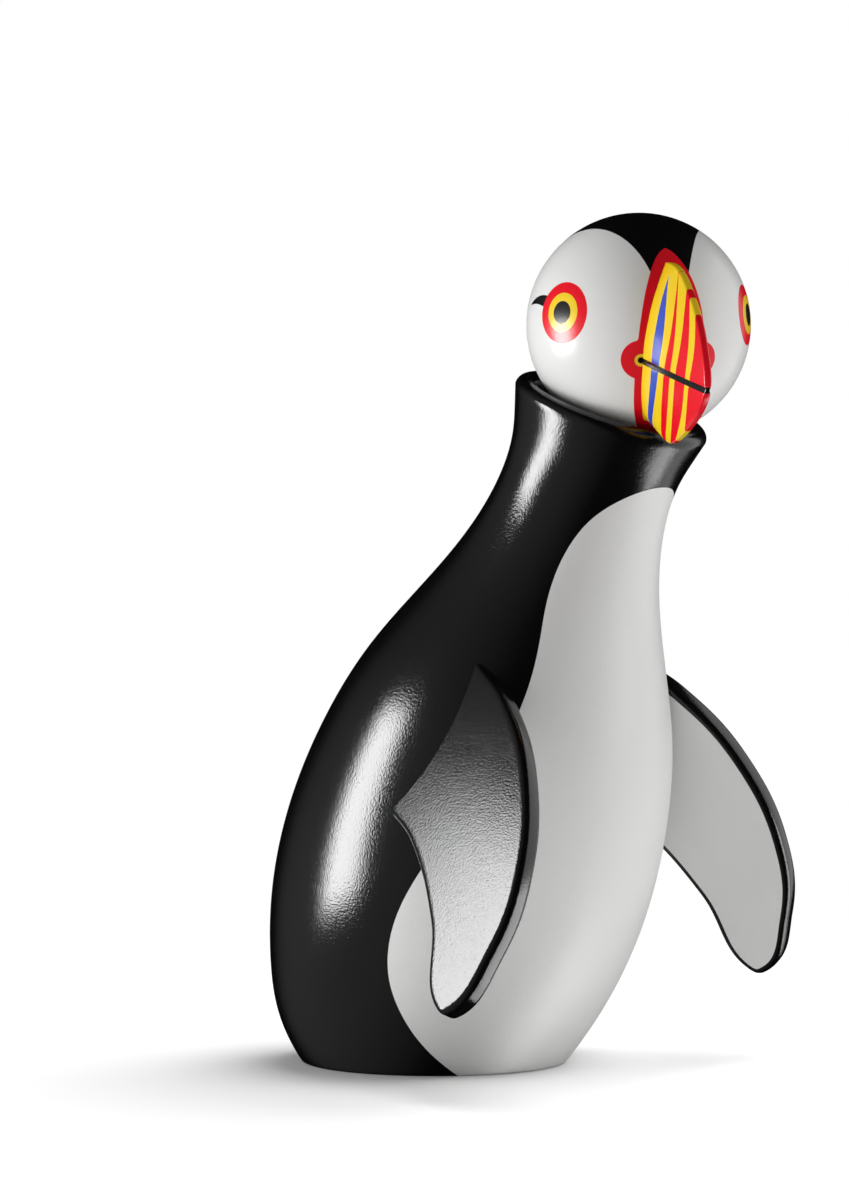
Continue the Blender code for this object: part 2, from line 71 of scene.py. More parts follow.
def toward(azimuth, elevation):
    """Unit vector from the bird: the azimuth turns -Y towards +X, the elevation lifts it."""
    turn = math.radians(azimuth)
    lift = math.radians(elevation)
    level = math.cos(lift)
    return Vector((math.sin(turn) * level, -math.cos(turn) * level, math.sin(lift)))


def turned_to(azimuth, elevation):
    """The turn that puts the back of a camera or lamp in this direction, so that it faces the bird."""
    return toward(azimuth, elevation).to_track_quat("Z", "Y").to_euler()


def placed(name, data):
    """A new object for a mesh, lamp or camera, linked into the scene."""
    made = bpy.data.objects.new(name, data)
    bpy.context.scene.collection.objects.link(made)
    return made


camera_data = bpy.data.cameras.new("camera")
camera_data.sensor_fit = "VERTICAL"
camera_data.sensor_height = FRAME_HEIGHT_MM
camera_data.lens = LENS_MM
camera_data.clip_start = 0.01
camera = placed("camera", camera_data)
camera.location = CAMERA_PLACE
camera.rotation_euler = turned_to(CAMERA_AZIMUTH, CAMERA_ELEVATION)
bpy.context.scene.camera = camera
print("camera distance from the origin, mm:", round(camera.location.length / MM))

# %% [markdown]
# ## Meshes from arrays
#
# Each surface below is a grid of points that numpy works out at once. `grid_quads` numbers the
# quads of a grid, and `new_piece` turns points and quads into a closed, smooth Blender object.
# Seams and poles are closed by merging the points that coincide there, and the faces are then
# turned to point outwards.

# %% Grid and mesh helpers
MERGE = 0.001 * MM
SHARP = math.radians(32)


def quads_between(first, second, closed=True):
    """Quads between two rows of point numbers, joined end to start if closed."""
    if closed:
        first = np.append(first, first[0])
        second = np.append(second, second[0])
    return np.stack([first[:-1], first[1:], second[1:], second[:-1]], axis=-1)


def grid_quads(rows, columns, close_rows=False, close_columns=True):
    """Quads of a grid of points numbered row by row, closed along either way."""
    numbers = np.arange(rows * columns).reshape(rows, columns)
    if close_rows:
        numbers = np.vstack([numbers, numbers[:1]])
    return np.concatenate([quads_between(one, other, close_columns)
                           for one, other in zip(numbers, numbers[1:])])


def new_piece(name, points, faces, body, node):
    """A closed smooth object from points in metres, riding on a body in place of a CAD node."""
    mesh = bpy.data.meshes.new(name)
    mesh.from_pydata(points.reshape(-1, 3).tolist(), [], faces.tolist())
    shape = bmesh.new()
    shape.from_mesh(mesh)
    bmesh.ops.remove_doubles(shape, verts=shape.verts, dist=MERGE)
    bmesh.ops.dissolve_degenerate(shape, edges=shape.edges, dist=MERGE)
    bmesh.ops.recalc_face_normals(shape, faces=shape.faces)
    open_edges = sum(not edge.is_manifold for edge in shape.edges)
    shape.to_mesh(mesh)
    shape.free()
    mesh.shade_smooth()
    mesh.set_sharp_from_angle(angle=SHARP)
    piece = placed(name, mesh)
    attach(piece, body)
    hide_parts(node)
    print(name, "has", len(mesh.polygons), "faces and", open_edges, "open edges")
    return piece


def points_of(piece):
    """The points of a piece, as an array with one row for each."""
    flat = np.zeros(len(piece.data.vertices) * 3)
    piece.data.vertices.foreach_get("co", flat)
    return flat.reshape(-1, 3)


def paint_map(piece, name, millimetres):
    """Store a signed distance for each point. Paint covers the places where it is positive."""
    layer = piece.data.attributes.new(name, "FLOAT", "POINT")
    layer.data.foreach_set("value", np.asarray(millimetres, dtype=np.float32))
    print(piece.name, name, "reaches", round(float(np.max(millimetres)), 1), "mm past its edge")


# %% [markdown]
# ## Smooth lines
#
# A turner works to a few diameters and lets the tool run fair between them. A natural cubic
# spline does the same: it passes through the given points, and its bend changes steadily.

# %% Natural spline
def spline(knots, values, at):
    """Natural cubic spline: the bends at the knots come from one linear system, and each span
    blends its two end values and their bends."""
    knots = np.asarray(knots, float)
    values = np.asarray(values, float).reshape(len(knots), -1)
    span = np.diff(knots)
    inner = np.arange(1, len(knots) - 1)
    system = np.eye(len(knots))
    system[inner, inner - 1] = span[:-1]
    system[inner, inner] = 2 * (span[:-1] + span[1:])
    system[inner, inner + 1] = span[1:]
    slope = np.diff(values, axis=0) / span[:, None]
    right = np.zeros_like(values)
    right[1:-1] = 6 * np.diff(slope, axis=0)
    bend = np.linalg.solve(system, right)
    at = np.asarray(at, float)
    cell = np.clip(np.searchsorted(knots, at) - 1, 0, len(span) - 1)
    low = ((knots[cell + 1] - at) / span[cell])[..., None]
    high = 1 - low
    width = (span[cell] ** 2 / 6)[..., None]
    found = (low * values[cell] + high * values[cell + 1]
             + width * ((low ** 3 - low) * bend[cell] + (high ** 3 - high) * bend[cell + 1]))
    return found[..., 0] if found.shape[-1] == 1 else found


def chord_spline(points, count):
    """A spline through points in a plane or in space, spaced by the distance between them."""
    points = np.asarray(points, float)
    steps = np.linalg.norm(np.diff(points, axis=0), axis=1)
    knots = np.append(0.0, np.cumsum(steps))
    return spline(knots, points, np.linspace(0.0, knots[-1], count))


# %% [markdown]
# ## Body
#
# The body is one turned piece of beech whose axis leans forward, so that the bird tips
# towards what it looks at, and it is sawn level underneath. Its outer side could be a Screw
# modifier and a Boolean, but then the sawn edge would cut across the faces. Here every
# meridian is started exactly where it meets the table, which leaves clean rings all the way
# up, room for a small rounding at the foot, and one closed skin that runs on over the lip,
# down into the dish and the bore, and back out round the plug.

# %% Body sizes
LEAN = math.radians(21.4)
BODY_AXIS = np.array([0.0, -math.sin(LEAN), math.cos(LEAN)])
BODY_SIDE = np.array([1.0, 0.0, 0.0])
BODY_BACK = np.cross(BODY_AXIS, BODY_SIDE)
LIP_RADIUS = 17.0
LIP_ROUND = 1.7
LIP_STATION = 121.8
BODY_STATIONS = np.array([-14.0, -8.0, 0.0, 10.0, 25.0, 40.0, 55.0, 70.0, 90.0, 105.0, 114.0, 119.8,
                          LIP_STATION])
BODY_RADII = np.array([6.6, 13.8, 22.1, 27.5, 31.5, 32.6, 31.2, 27.4, 18.9, 14.9, 15.0, 16.45,
                       LIP_RADIUS])
SAWN_BELOW = 30.0
SEAT_OUTER = (11.24, 121.77)
SEAT_INNER = (9.21, 120.5)
DISH_FLOOR = 117.0
BORE_RADIUS = 1.3
CHAMBER_RADIUS = 6.6
CHAMBER_TOP = 70.0
FOOT_ROUND = 0.4
HALVINGS = 40
BODY_SEGMENTS = 280
BODY_RINGS = 150
FOOT_RINGS = 8
ROUNDING_RINGS = 6
LIP_RINGS = 24
HOLLOW_RINGS = 4
CHAMBER_RINGS = 10

print("body axis:", np.round(BODY_AXIS, 3))


def body_radius(station):
    """The turned radius at a station along the leaning axis, both in millimetres."""
    return spline(BODY_STATIONS, BODY_RADII, station)


def nearest_radius(station):
    """The same for any station, with the radius at the foot or lip beyond them."""
    return body_radius(np.clip(station, BODY_STATIONS[0], LIP_STATION))


# %% Body surface
def turned(radius, station, angle):
    """Points on the leaning axis plus a radius turned by an angle, 90 degrees being the back."""
    out = np.cos(angle)[..., None] * BODY_SIDE + np.sin(angle)[..., None] * BODY_BACK
    return np.asarray(station)[..., None] * BODY_AXIS + np.asarray(radius)[..., None] * out


def halved(low, high, short):
    """Halve the interval from low to high until it closes on where `short` stops being true."""
    for _ in range(HALVINGS):
        middle = (low + high) / 2
        below = short(middle)
        low, high = np.where(below, middle, low), np.where(below, high, middle)
    return (low + high) / 2


def skin_at_height(height, angle):
    """Where the meridian at each angle reaches a height: its station and its point."""
    def on_skin(station):
        return turned(body_radius(station), station, angle)

    low = np.full_like(angle, BODY_STATIONS[0])
    station = halved(low, SAWN_BELOW, lambda middle: on_skin(middle)[..., 2] < height)
    return station, on_skin(station)


def rings_along(points, angle):
    """Rings for a straight run of the profile, from one (radius, station) to the next."""
    (r0, s0), (r1, s1) = points
    share = np.linspace(0.0, 1.0, HOLLOW_RINGS + 1)[1:, None]
    return turned(r0 + (r1 - r0) * share, s0 + (s1 - s0) * share, angle)


def body_surface():
    """The closed skin of the body: foot, rounding, side, lip, seat, dish, bore and chamber."""
    angle = np.linspace(0.0, 2 * math.pi, BODY_SEGMENTS, endpoint=False)
    mouth_station = -CHAMBER_RADIUS * BODY_BACK[2] / BODY_AXIS[2] * np.sin(angle)
    mouth = turned(CHAMBER_RADIUS, mouth_station, angle)
    _, corner = skin_at_height(0.0, angle)
    start_station, start = skin_at_height(FOOT_ROUND, angle)
    inner = corner * (1 - FOOT_ROUND / np.linalg.norm(corner, axis=-1, keepdims=True))
    inner[:, 2] = 0.0
    out = np.linspace(0.0, 1.0, FOOT_RINGS)[:, None, None]
    foot = mouth + (inner - mouth) * out
    turn = np.linspace(0.0, 1.0, ROUNDING_RINGS + 1)[1:, None, None]
    rounding = (1 - turn) ** 2 * inner + 2 * turn * (1 - turn) * corner + turn ** 2 * start
    up = np.linspace(0.0, 1.0, BODY_RINGS)[1:, None]
    station = start_station + (LIP_STATION - start_station) * up
    side = turned(body_radius(station), station, angle)
    bow = np.linspace(0.0, math.pi, LIP_RINGS + 1)[1:, None]
    lip = turned(LIP_RADIUS - LIP_ROUND + LIP_ROUND * np.cos(bow),
                 LIP_STATION + LIP_ROUND * np.sin(bow), angle)
    corners = [(LIP_RADIUS - 2 * LIP_ROUND, LIP_STATION), SEAT_OUTER, SEAT_INNER,
               (SEAT_INNER[0], DISH_FLOOR), (BORE_RADIUS, DISH_FLOOR), (BORE_RADIUS, CHAMBER_TOP),
               (CHAMBER_RADIUS, CHAMBER_TOP)]
    inside = [rings_along(pair, angle) for pair in zip(corners, corners[1:])]
    down = np.linspace(0.0, 1.0, CHAMBER_RINGS + 2)[1:-1, None]
    chamber = turned(CHAMBER_RADIUS, CHAMBER_TOP + (mouth_station - CHAMBER_TOP) * down, angle)
    return np.concatenate([foot, rounding, side, lip, *inside, chamber]) * MM


surface = body_surface()
body = new_piece("turned_body", surface, grid_quads(*surface.shape[:2], close_rows=True),
                 "torso", "body")

# %% [markdown]
# ## White belly
#
# The belly is masked off and sprayed white: a tall patch, mirror-symmetric, round at the neck,
# drawn in behind the wings' roots and spreading again at the foot. Its edge is written as
# degrees round the body from the middle of the breast, against stations. Each point of the
# body then stores its distance to that edge, and the material only asks for the sign. That
# keeps the edge sharp at any render size.

# %% Belly patch
BELLY_EDGE = [  # degrees from the middle of the breast, and station
    (-9.8, 113.5), (0.0, 113.8), (9.8, 113.5), (22.0, 112.2), (33.0, 110.2), (45.0, 106.9),
    (54.5, 101.8), (58.0, 97.0), (58.2, 92.0), (55.6, 85.4), (54.3, 79.6), (55.4, 72.0),
    (60.5, 60.0), (66.0, 49.0), (70.0, 40.6), (71.7, 32.5), (69.8, 25.2), (62.7, 18.4),
    (48.4, 12.0), (34.5, 8.5), (18.0, 5.0)]
BELLY_SAMPLES = 320
BREAST_SAMPLES = BELLY_SAMPLES // 16
SKIN_DEPTH = 1.0


def distance_to_line(points, line):
    """The least distance from each point to a chain of straight segments."""
    nearest = np.full(len(points), np.inf)
    for start, end in zip(line, line[1:]):
        along = end - start
        share = np.clip((points - start) @ along / (along @ along), 0.0, 1.0)
        nearest = np.minimum(nearest, np.linalg.norm(points - start - share[:, None] * along, axis=1))
    return nearest


def belly_distance(points):
    """Millimetres inside the belly's edge, negative outside it and inside the turned hollows."""
    points = points / MM
    station = points @ BODY_AXIS
    side = np.abs(points @ BODY_SIDE)
    front = -(points @ BODY_BACK)
    edge = chord_spline(BELLY_EDGE, BELLY_SAMPLES)
    edge_radius = body_radius(edge[:, 1])
    edge_angle = np.radians(edge[:, 0])
    line = np.stack([edge_radius * np.sin(edge_angle), edge_radius * np.cos(edge_angle), edge[:, 1]],
                    axis=1)
    distance = distance_to_line(np.stack([side, front, station], axis=1), line)
    upwards = edge[BREAST_SAMPLES:][::-1]
    edge_at = np.interp(station, upwards[:, 1], upwards[:, 0], right=-1.0)
    inside = np.degrees(np.arctan2(side, front)) < edge_at
    skin = np.hypot(side, front) > nearest_radius(station) - SKIN_DEPTH
    return np.where(inside & skin, distance, -distance)


paint_map(body, "belly", belly_distance(points_of(body)))

# %% [markdown]
# ## Wings
#
# Each wing is sawn from 3.8 mm plate, its edges are rounded over, and its root is scribed to
# the turned body, so it needs no visible fixing. The outline is a closed curve through a few
# points. At each depth through the plate the curve is drawn in by the rounding, its two
# crossings with the body are found, and the root edge is laid on the body's skin. A Coons
# patch, which blends the four border curves, fills the two faces.

# %% Wing outline
WING_THICKNESS = 3.8
WING_SPLAY = math.radians(21.9)
WING_TOE = math.radians(9.0)
WING_OFFSET = 43.3
WING_ROUND = 1.1
ROOT_GAP = 0.3
WING_OUTLINE = np.array([  # forward and up in the plate, down the leading edge and back up
    (31.6, 63.7), (38.2, 58.9), (45.3, 53.7), (55.2, 41.0), (60.5, 23.5), (59.1, 10.3),
    (52.6, -0.9), (49.8, -0.4), (42.8, 14.2), (33.0, 27.2), (22.1, 35.6), (14.0, 52.0)])
TIP_POINT = 6
LAST_POINT = len(WING_OUTLINE) - 1.0
TIP_SHARE = 0.35
HANDLE_SHARE = 1 / 2.5614        # of a chord, as in an automatic Bezier handle
WING_FORWARD = np.array([math.sin(WING_TOE), -math.cos(WING_TOE), 0.0])
WING_NORMAL = np.array([math.cos(WING_SPLAY) * math.cos(WING_TOE),
                        math.cos(WING_SPLAY) * math.sin(WING_TOE), math.sin(WING_SPLAY)])
WING_UP = np.cross(WING_FORWARD, WING_NORMAL)
print("left wing faces", np.round(WING_NORMAL, 3))


def outline_at(place, inset=0.0):
    """A closed Bezier curve whose handles lie along the mean direction of the neighbouring
    chords, at a place counted in points, moved inwards by the inset."""
    ahead = np.roll(WING_OUTLINE, -1, axis=0) - WING_OUTLINE
    length = np.linalg.norm(ahead, axis=1, keepdims=True)
    behind = np.roll(ahead, 1, axis=0)
    length_behind = np.roll(length, 1, axis=0)
    way = ahead / length + behind / length_behind
    way /= np.linalg.norm(way, axis=1, keepdims=True)
    place = np.asarray(place, float)
    one = np.floor(place).astype(int) % len(WING_OUTLINE)
    two = (one + 1) % len(WING_OUTLINE)
    t = (place - np.floor(place))[..., None]
    a = WING_OUTLINE[one]
    b = a + way[one] * length[one] * HANDLE_SHARE
    d = WING_OUTLINE[two]
    c = d - way[two] * length_behind[two] * HANDLE_SHARE
    point = (1 - t) ** 3 * a + 3 * t * (1 - t) ** 2 * b + 3 * t * t * (1 - t) * c + t ** 3 * d
    speed = (1 - t) ** 2 * (b - a) + 2 * t * (1 - t) * (c - b) + t * t * (d - c)
    speed /= np.linalg.norm(speed, axis=-1, keepdims=True)
    outwards = np.stack([-speed[..., 1], speed[..., 0]], axis=-1)
    return point - inset * outwards


def in_plate(flat, depth):
    """A point of the left wing's plate from (forward, up) and its depth from the middle plane."""
    flat = np.asarray(flat)
    return (WING_NORMAL * (WING_OFFSET - WING_THICKNESS / 2 + depth)
            + flat[..., :1] * WING_FORWARD + flat[..., 1:] * WING_UP)


def clear_of_body(flat, depth):
    """How far a point of the plate is outside the body's skin and the gap left round it."""
    point = in_plate(flat, depth)
    station = point @ BODY_AXIS
    radius = np.linalg.norm(point - station[..., None] * BODY_AXIS, axis=-1)
    return radius - ROOT_GAP - nearest_radius(station)


# %% Wing borders and faces
LENGTHWISE = 110
ACROSS = 44
ROUND_STEPS = 6
OUTLINE_SAMPLES = 900
ROOT_REACH = 12.0


def crossing(start, end, depth, inset):
    """The place on the outline where it leaves the body, read between two samples."""
    places = np.linspace(start, end, OUTLINE_SAMPLES)
    clear = clear_of_body(outline_at(places, inset), depth)
    last = np.nonzero(clear < 0)[0].max()
    share = clear[last] / (clear[last] - clear[last + 1])
    return places[last] + (places[last + 1] - places[last]) * share


def wing_border(depth, inset):
    """The four border curves at one depth: root, tip, leading edge and trailing edge."""
    tip_start, tip_end = TIP_POINT - TIP_SHARE, TIP_POINT + TIP_SHARE
    leading_root = crossing(-1.0, TIP_POINT - 1.0, depth, inset)
    trailing_root = crossing(LAST_POINT, TIP_POINT + 1.0, depth, inset)
    leading = outline_at(np.linspace(leading_root, tip_start, LENGTHWISE), inset)
    trailing = outline_at(np.linspace(trailing_root, tip_end, LENGTHWISE), inset)
    tip = outline_at(np.linspace(tip_start, tip_end, ACROSS), inset)
    chord = trailing[0] - leading[0]
    sideways = np.array([chord[1], -chord[0]]) / np.linalg.norm(chord)
    straight = leading[0] + chord * np.linspace(0.0, 1.0, ACROSS)[:, None]

    def outside(reach):
        return clear_of_body(straight + reach[:, None] * sideways, depth) > 0

    reach = np.full(ACROSS, ROOT_REACH)
    outside_ahead = outside(reach).mean() > 0.5
    reach = halved(-reach, reach, lambda middle: outside(middle) != outside_ahead)
    root = straight + reach[:, None] * sideways
    root[0] = leading[0]
    root[-1] = trailing[0]
    return root, tip, leading, trailing


def coons(root, tip, leading, trailing):
    """Blend opposite borders and take away the blend of the corners."""
    v = np.linspace(0.0, 1.0, len(leading))[:, None, None]
    u = np.linspace(0.0, 1.0, len(root))[None, :, None]
    ruled = ((1 - v) * root[None] + v * tip[None]
             + (1 - u) * leading[:, None] + u * trailing[:, None])
    corners = ((1 - u) * (1 - v) * root[0] + u * (1 - v) * root[-1]
               + (1 - u) * v * tip[0] + u * v * tip[-1])
    return ruled - corners


def around(grid):
    """The rim of a grid, once round: leading edge, tip, trailing edge and root."""
    return np.concatenate([grid[:-1, 0], grid[-1, :-1], grid[:0:-1, -1], grid[0, :0:-1]])


def wing_surface():
    """Points and quads of the left wing: inner face, rounded edge all round, outer face."""
    bow = np.linspace(0.0, math.pi / 2, ROUND_STEPS + 1)
    half_flat = WING_THICKNESS / 2 - WING_ROUND
    depths = half_flat + WING_ROUND * np.sin(bow)
    insets = WING_ROUND * (1 - np.cos(bow))
    levels = [(-depth, inset) for depth, inset in zip(depths[::-1], insets[::-1])]
    levels += list(zip(depths, insets))
    numbers = np.arange(LENGTHWISE * ACROSS).reshape(LENGTHWISE, ACROSS)
    points, rims, faces, count = [], [], [], 0
    for index, (depth, inset) in enumerate(levels):
        grid = coons(*wing_border(depth, inset))
        if index in (0, len(levels) - 1):
            points.append(in_plate(grid, depth).reshape(-1, 3))
            rims.append(around(numbers) + count)
            faces.append(grid_quads(LENGTHWISE, ACROSS, close_columns=False) + count)
        else:
            points.append(in_plate(around(grid), depth))
            rims.append(np.arange(len(points[-1])) + count)
        count += len(points[-1])
    faces += [quads_between(one, other) for one, other in zip(rims, rims[1:])]
    return np.concatenate(points) * MM, np.concatenate(faces)


# %% [markdown]
# The plate is lacquered black all over, except that the face towards the body is white inside
# a thin black line. The line follows the outline, so its distance is measured to the curve.

# %% Make both wings
WHITE_MARGIN = 1.25
LINE_SAMPLES = 500
FACE_TOLERANCE = 0.01
wing_points, wing_faces = wing_surface()
outline = outline_at(np.linspace(-1.0, LAST_POINT, LINE_SAMPLES))


def lining_distance(points):
    """Millimetres inside the black line on the inner face, and negative everywhere else."""
    points = points / MM
    depth = points @ WING_NORMAL - (WING_OFFSET - WING_THICKNESS / 2)
    flat = np.stack([points @ WING_FORWARD, points @ WING_UP], axis=1)
    distance = distance_to_line(flat, outline) - WHITE_MARGIN
    return np.where(depth < FACE_TOLERANCE - WING_THICKNESS / 2, distance, -1.0)


wings = {}
for wing_side, wing_name in ((1, "left_wing"), (-1, "right_wing")):
    mirror = np.array([wing_side, 1.0, 1.0])
    wing = new_piece(wing_name + "_plate", wing_points * mirror, wing_faces, "torso",
                     wing_name)
    paint_map(wing, "lining", lining_distance(points_of(wing) * mirror))
    wings[wing_name] = wing

# %% [markdown]
# ## Head
#
# The head is a stock turned ball of 38 mm, bored from below for the swivel. It is a surface of
# revolution about the bore, which puts the seam and the pole where nobody looks. The bird's
# face is looking to its right, so the directions of its face are worked out here once: left
# eye, forwards and upwards, and for the beak the mouth line, which droops.

# %% Head directions
BALL_RADIUS = 19.0
BALL_STATION = 137.5
HEAD_YAW = math.radians(37.5)
HEAD_PITCH = math.radians(10.5)
BEAK_DROOP = math.radians(28.5)
BORE_NOD = math.radians(7.0)
BALL_BORE = 7.0
BALL_BORE_TOP = 5.5
BALL_RINGS = 190
BALL_SEGMENTS = 250
BORE_END_RINGS = 5
BORE_WALL_RINGS = 6


def turn_about(axis, angle):
    """The matrix of a turn about X, axis 0, or Z, axis 2: a turn in the plane of the other two."""
    one, two = (axis + 1) % 3, (axis + 2) % 3
    matrix = np.eye(3)
    matrix[one, one] = matrix[two, two] = math.cos(angle)
    matrix[two, one] = math.sin(angle)
    matrix[one, two] = -math.sin(angle)
    return matrix


BALL_CENTRE = BODY_AXIS * BALL_STATION
head_axes = turn_about(2, -HEAD_YAW) @ turn_about(0, -HEAD_PITCH)
LEFT, FORWARD, UP = head_axes[:, 0], -head_axes[:, 1], head_axes[:, 2]
beak_axes = head_axes @ turn_about(0, BEAK_DROOP)
MOUTH, ABOVE = -beak_axes[:, 1], beak_axes[:, 2]
down_neck = head_axes.T @ -BODY_AXIS
bore_slope = math.atan2(down_neck[1], -down_neck[2]) + BORE_NOD
BORE = (head_axes @ turn_about(0, bore_slope))[:, 2]
print("the face looks along", np.round(FORWARD, 3), "and the mouth line along", np.round(MOUTH, 3))


# %% Head surface
def ball_surface():
    """Rings about the bore: its end, its wall, and the sphere from its mouth to the far pole."""
    angle = np.linspace(0.0, 2 * math.pi, BALL_SEGMENTS, endpoint=False)
    mouth_angle = math.asin(BALL_BORE / BALL_RADIUS)
    sphere = np.linspace(mouth_angle, math.pi, BALL_RINGS)
    end = np.linspace(0.0, BALL_BORE, BORE_END_RINGS)
    wall = np.linspace(BALL_BORE_TOP, -BALL_RADIUS * math.cos(mouth_angle), BORE_WALL_RINGS + 2)[1:-1]
    radius = np.concatenate([end, BALL_BORE + 0 * wall, BALL_RADIUS * np.sin(sphere)])
    height = np.concatenate([BALL_BORE_TOP + 0 * end, wall, -BALL_RADIUS * np.cos(sphere)])
    across = np.cross(BORE, LEFT)
    out = np.cos(angle)[:, None] * LEFT + np.sin(angle)[:, None] * across
    return (BALL_CENTRE + radius[:, None, None] * out + height[:, None, None] * BORE) * MM


surface = ball_surface()
head = new_piece("turned_head", surface, grid_quads(*surface.shape[:2]), "head", "head_ball")

# %% [markdown]
# ## Painted face
#
# The face is set out with a compass, and the code does the same. Each cheek is a round white
# cap of the ball, and what is left between the two is the black crown and nape. The eye is
# three rings, a short black stroke runs back from it, and the beak stands in a red almond with
# a round lobe at each corner of the mouth. An angle from a centre, times the ball's radius,
# is the distance that the paint needs.

# %% Face distances
CHEEK_AXIS = (0.914, 0.376, -0.154)
CHEEK_ANGLE = 61.4
THROAT_AXIS = (0.0, math.cos(math.radians(62.0)), -math.sin(math.radians(62.0)))
THROAT_ANGLE = 38.0
EYE_AXIS = (0.865, 0.502, -0.008)
GAPE_AXIS = (0.264, 0.823, -0.503)
LOBE_ANGLE = 10.3
ALMOND_WIDTH = 17.9
ALMOND_REACH = 58.0
ALMOND_POWER = 0.68
STREAK_UPPER = (0.214, 1.2, 0.16)      # height, bend and middle of the edge, on a ball of radius 1
STREAK_LOWER = (0.169, 1.05, 0.006)
STREAK_END = -0.04
STREAK_INSIDE = 0.8
MM_PER_DEGREE = BALL_RADIUS * math.pi / 180


def degrees_from(axis, sides):
    """Degrees from a direction of the face, given as its way sideways, forwards and upwards."""
    cosine = sides @ (np.array(axis) / np.linalg.norm(axis))
    return np.degrees(np.arccos(np.clip(cosine, -1.0, 1.0)))


def face_maps(points):
    """The distances of the black, the red, the eye and the mouth's corner, in millimetres."""
    ray = points / MM - BALL_CENTRE
    ray /= np.linalg.norm(ray, axis=1, keepdims=True)
    left, forward, up = ray @ LEFT, ray @ FORWARD, ray @ UP
    sides = np.stack([np.abs(left), forward, up], axis=1)
    crown = degrees_from(CHEEK_AXIS, sides) - CHEEK_ANGLE
    throat = degrees_from(THROAT_AXIS, sides) - THROAT_ANGLE
    upper, lower = (top - bend * (forward - middle) ** 2 - up
                    for top, bend, middle in (STREAK_UPPER, STREAK_LOWER))
    streak = np.minimum(np.minimum(upper, -lower), forward - STREAK_END)
    streak = np.where(np.abs(left) > STREAK_INSIDE, streak, -1.0) * 180 / math.pi
    black = np.maximum(np.minimum(crown, throat), streak)
    height = np.degrees(np.arctan2(ray @ ABOVE, ray @ MOUTH))
    sideways = np.degrees(np.arcsin(np.clip(np.abs(left), 0.0, 1.0)))
    share = np.clip(1 - (height / ALMOND_REACH) ** 2, 0.0, 1.0)
    past_reach = np.maximum(np.abs(height) - ALMOND_REACH, 0.0)
    almond = ALMOND_WIDTH * share ** ALMOND_POWER - sideways - past_reach
    gape = degrees_from(GAPE_AXIS, sides)
    red = np.maximum(almond, LOBE_ANGLE - gape)
    eye = degrees_from(EYE_AXIS, sides)
    maps = {"black": black, "red": red, "eye": eye, "gape": gape}
    return {name: angle * MM_PER_DEGREE for name, angle in maps.items()}


for map_name, distances in face_maps(points_of(head)).items():
    paint_map(head, map_name, distances)

# %% [markdown]
# ## Beak
#
# The beak is a deep wedge, carved thin towards its ridge and glued to the ball. Rays from the
# ball's centre cut it neatly: each starts on the ball, runs along the beak's flank and ends at
# the ridge. So the surface is a fan of profiles, one for each angle above or below the mouth
# line, and each profile goes out along one flank, over the rounded ridge, back along the other
# flank and home across the hollow that fits the ball.

# %% Beak sizes
SEAT_CLEARANCE = 0.02
RIDGE_HALF_WIDTH = 0.56
RIDGE_ROUND = 0.3
FLANK_BOW = 0.25
FULL_WIDTH = 4.7
LEAST_ROOT = 0.3
BEAK_OUTLINE = np.array([  # along the mouth line and above it, from the ball's centre
    (12.4, 14.3), (15.2, 14.85), (18.7, 14.85), (25.0, 12.9), (31.2, 9.6), (36.2, 5.0), (38.7, 0.0),
    (35.8, -5.0), (31.3, -9.0), (27.0, -12.0), (22.5, -13.8), (18.5, -13.5), (14.2, -12.7), (12.8, -12.4)])
BEAK_ROOT = np.array([  # degrees above the mouth line, and half width on the ball
    (-46.0, 0.6), (-42.4, 1.77), (-35.5, 2.86), (-28.3, 3.56), (-17.6, 4.3), (-5.0, 4.68),
    (6.9, 4.74), (16.8, 4.3), (26.4, 3.57), (35.7, 2.46), (43.5, 1.35), (49.2, 0.5)])
MOUTH_START = (18.3, -1.1)
MOUTH_END = (38.6, -0.1)
GROOVE_HALF_WIDTH = 0.45
GROOVE_DEPTH = 0.22
GROOVE_RISE = 6                  # full depth from this fraction of the flank on
OUTLINE_SEARCH = 4000
FAN_RAYS = 300
FLANK_STEPS = 84
ROUND_OVER_STEPS = 8
RIDGE_STEPS = 4
BACK_STEPS = 8

ray_angle = np.degrees(np.arctan2(BEAK_OUTLINE[:, 1], BEAK_OUTLINE[:, 0]))[::-1]
ray_length = np.linalg.norm(BEAK_OUTLINE, axis=1)[::-1]
print("the beak fans from", round(ray_angle[0]), "to", round(ray_angle[-1]), "degrees")


def mouth_height(along):
    """The height of the mouth line, which rises slightly towards the tip."""
    (m0, n0), (m1, n1) = MOUTH_START, MOUTH_END
    return n0 + (n1 - n0) * (along - m0) / (m1 - m0)


def flank(angle, share, edge):
    """Length along the ray and half width, at a share of the way from the ball to the ridge. The
    side runs straight from the root to the ridge, a little bowed, and dips at the mouth line."""
    root = np.maximum(spline(BEAK_ROOT[:, 0], BEAK_ROOT[:, 1], angle), LEAST_ROOT)
    ridge = np.minimum(RIDGE_HALF_WIDTH, root)
    start = np.sqrt((BALL_RADIUS + SEAT_CLEARANCE) ** 2 - root ** 2)
    length = start + np.maximum(edge - start, 0.0) * share
    depth = (root - ridge) / FULL_WIDTH
    width = root + (ridge - root) * share + FLANK_BOW * 4 * share * (1 - share) * depth
    along = length * np.cos(np.radians(angle))
    height = length * np.sin(np.radians(angle))
    groove = np.exp(-((height - mouth_height(along)) / GROOVE_HALF_WIDTH) ** 2)
    return length, width - GROOVE_DEPTH * groove * np.minimum(GROOVE_RISE * share, 1.0)


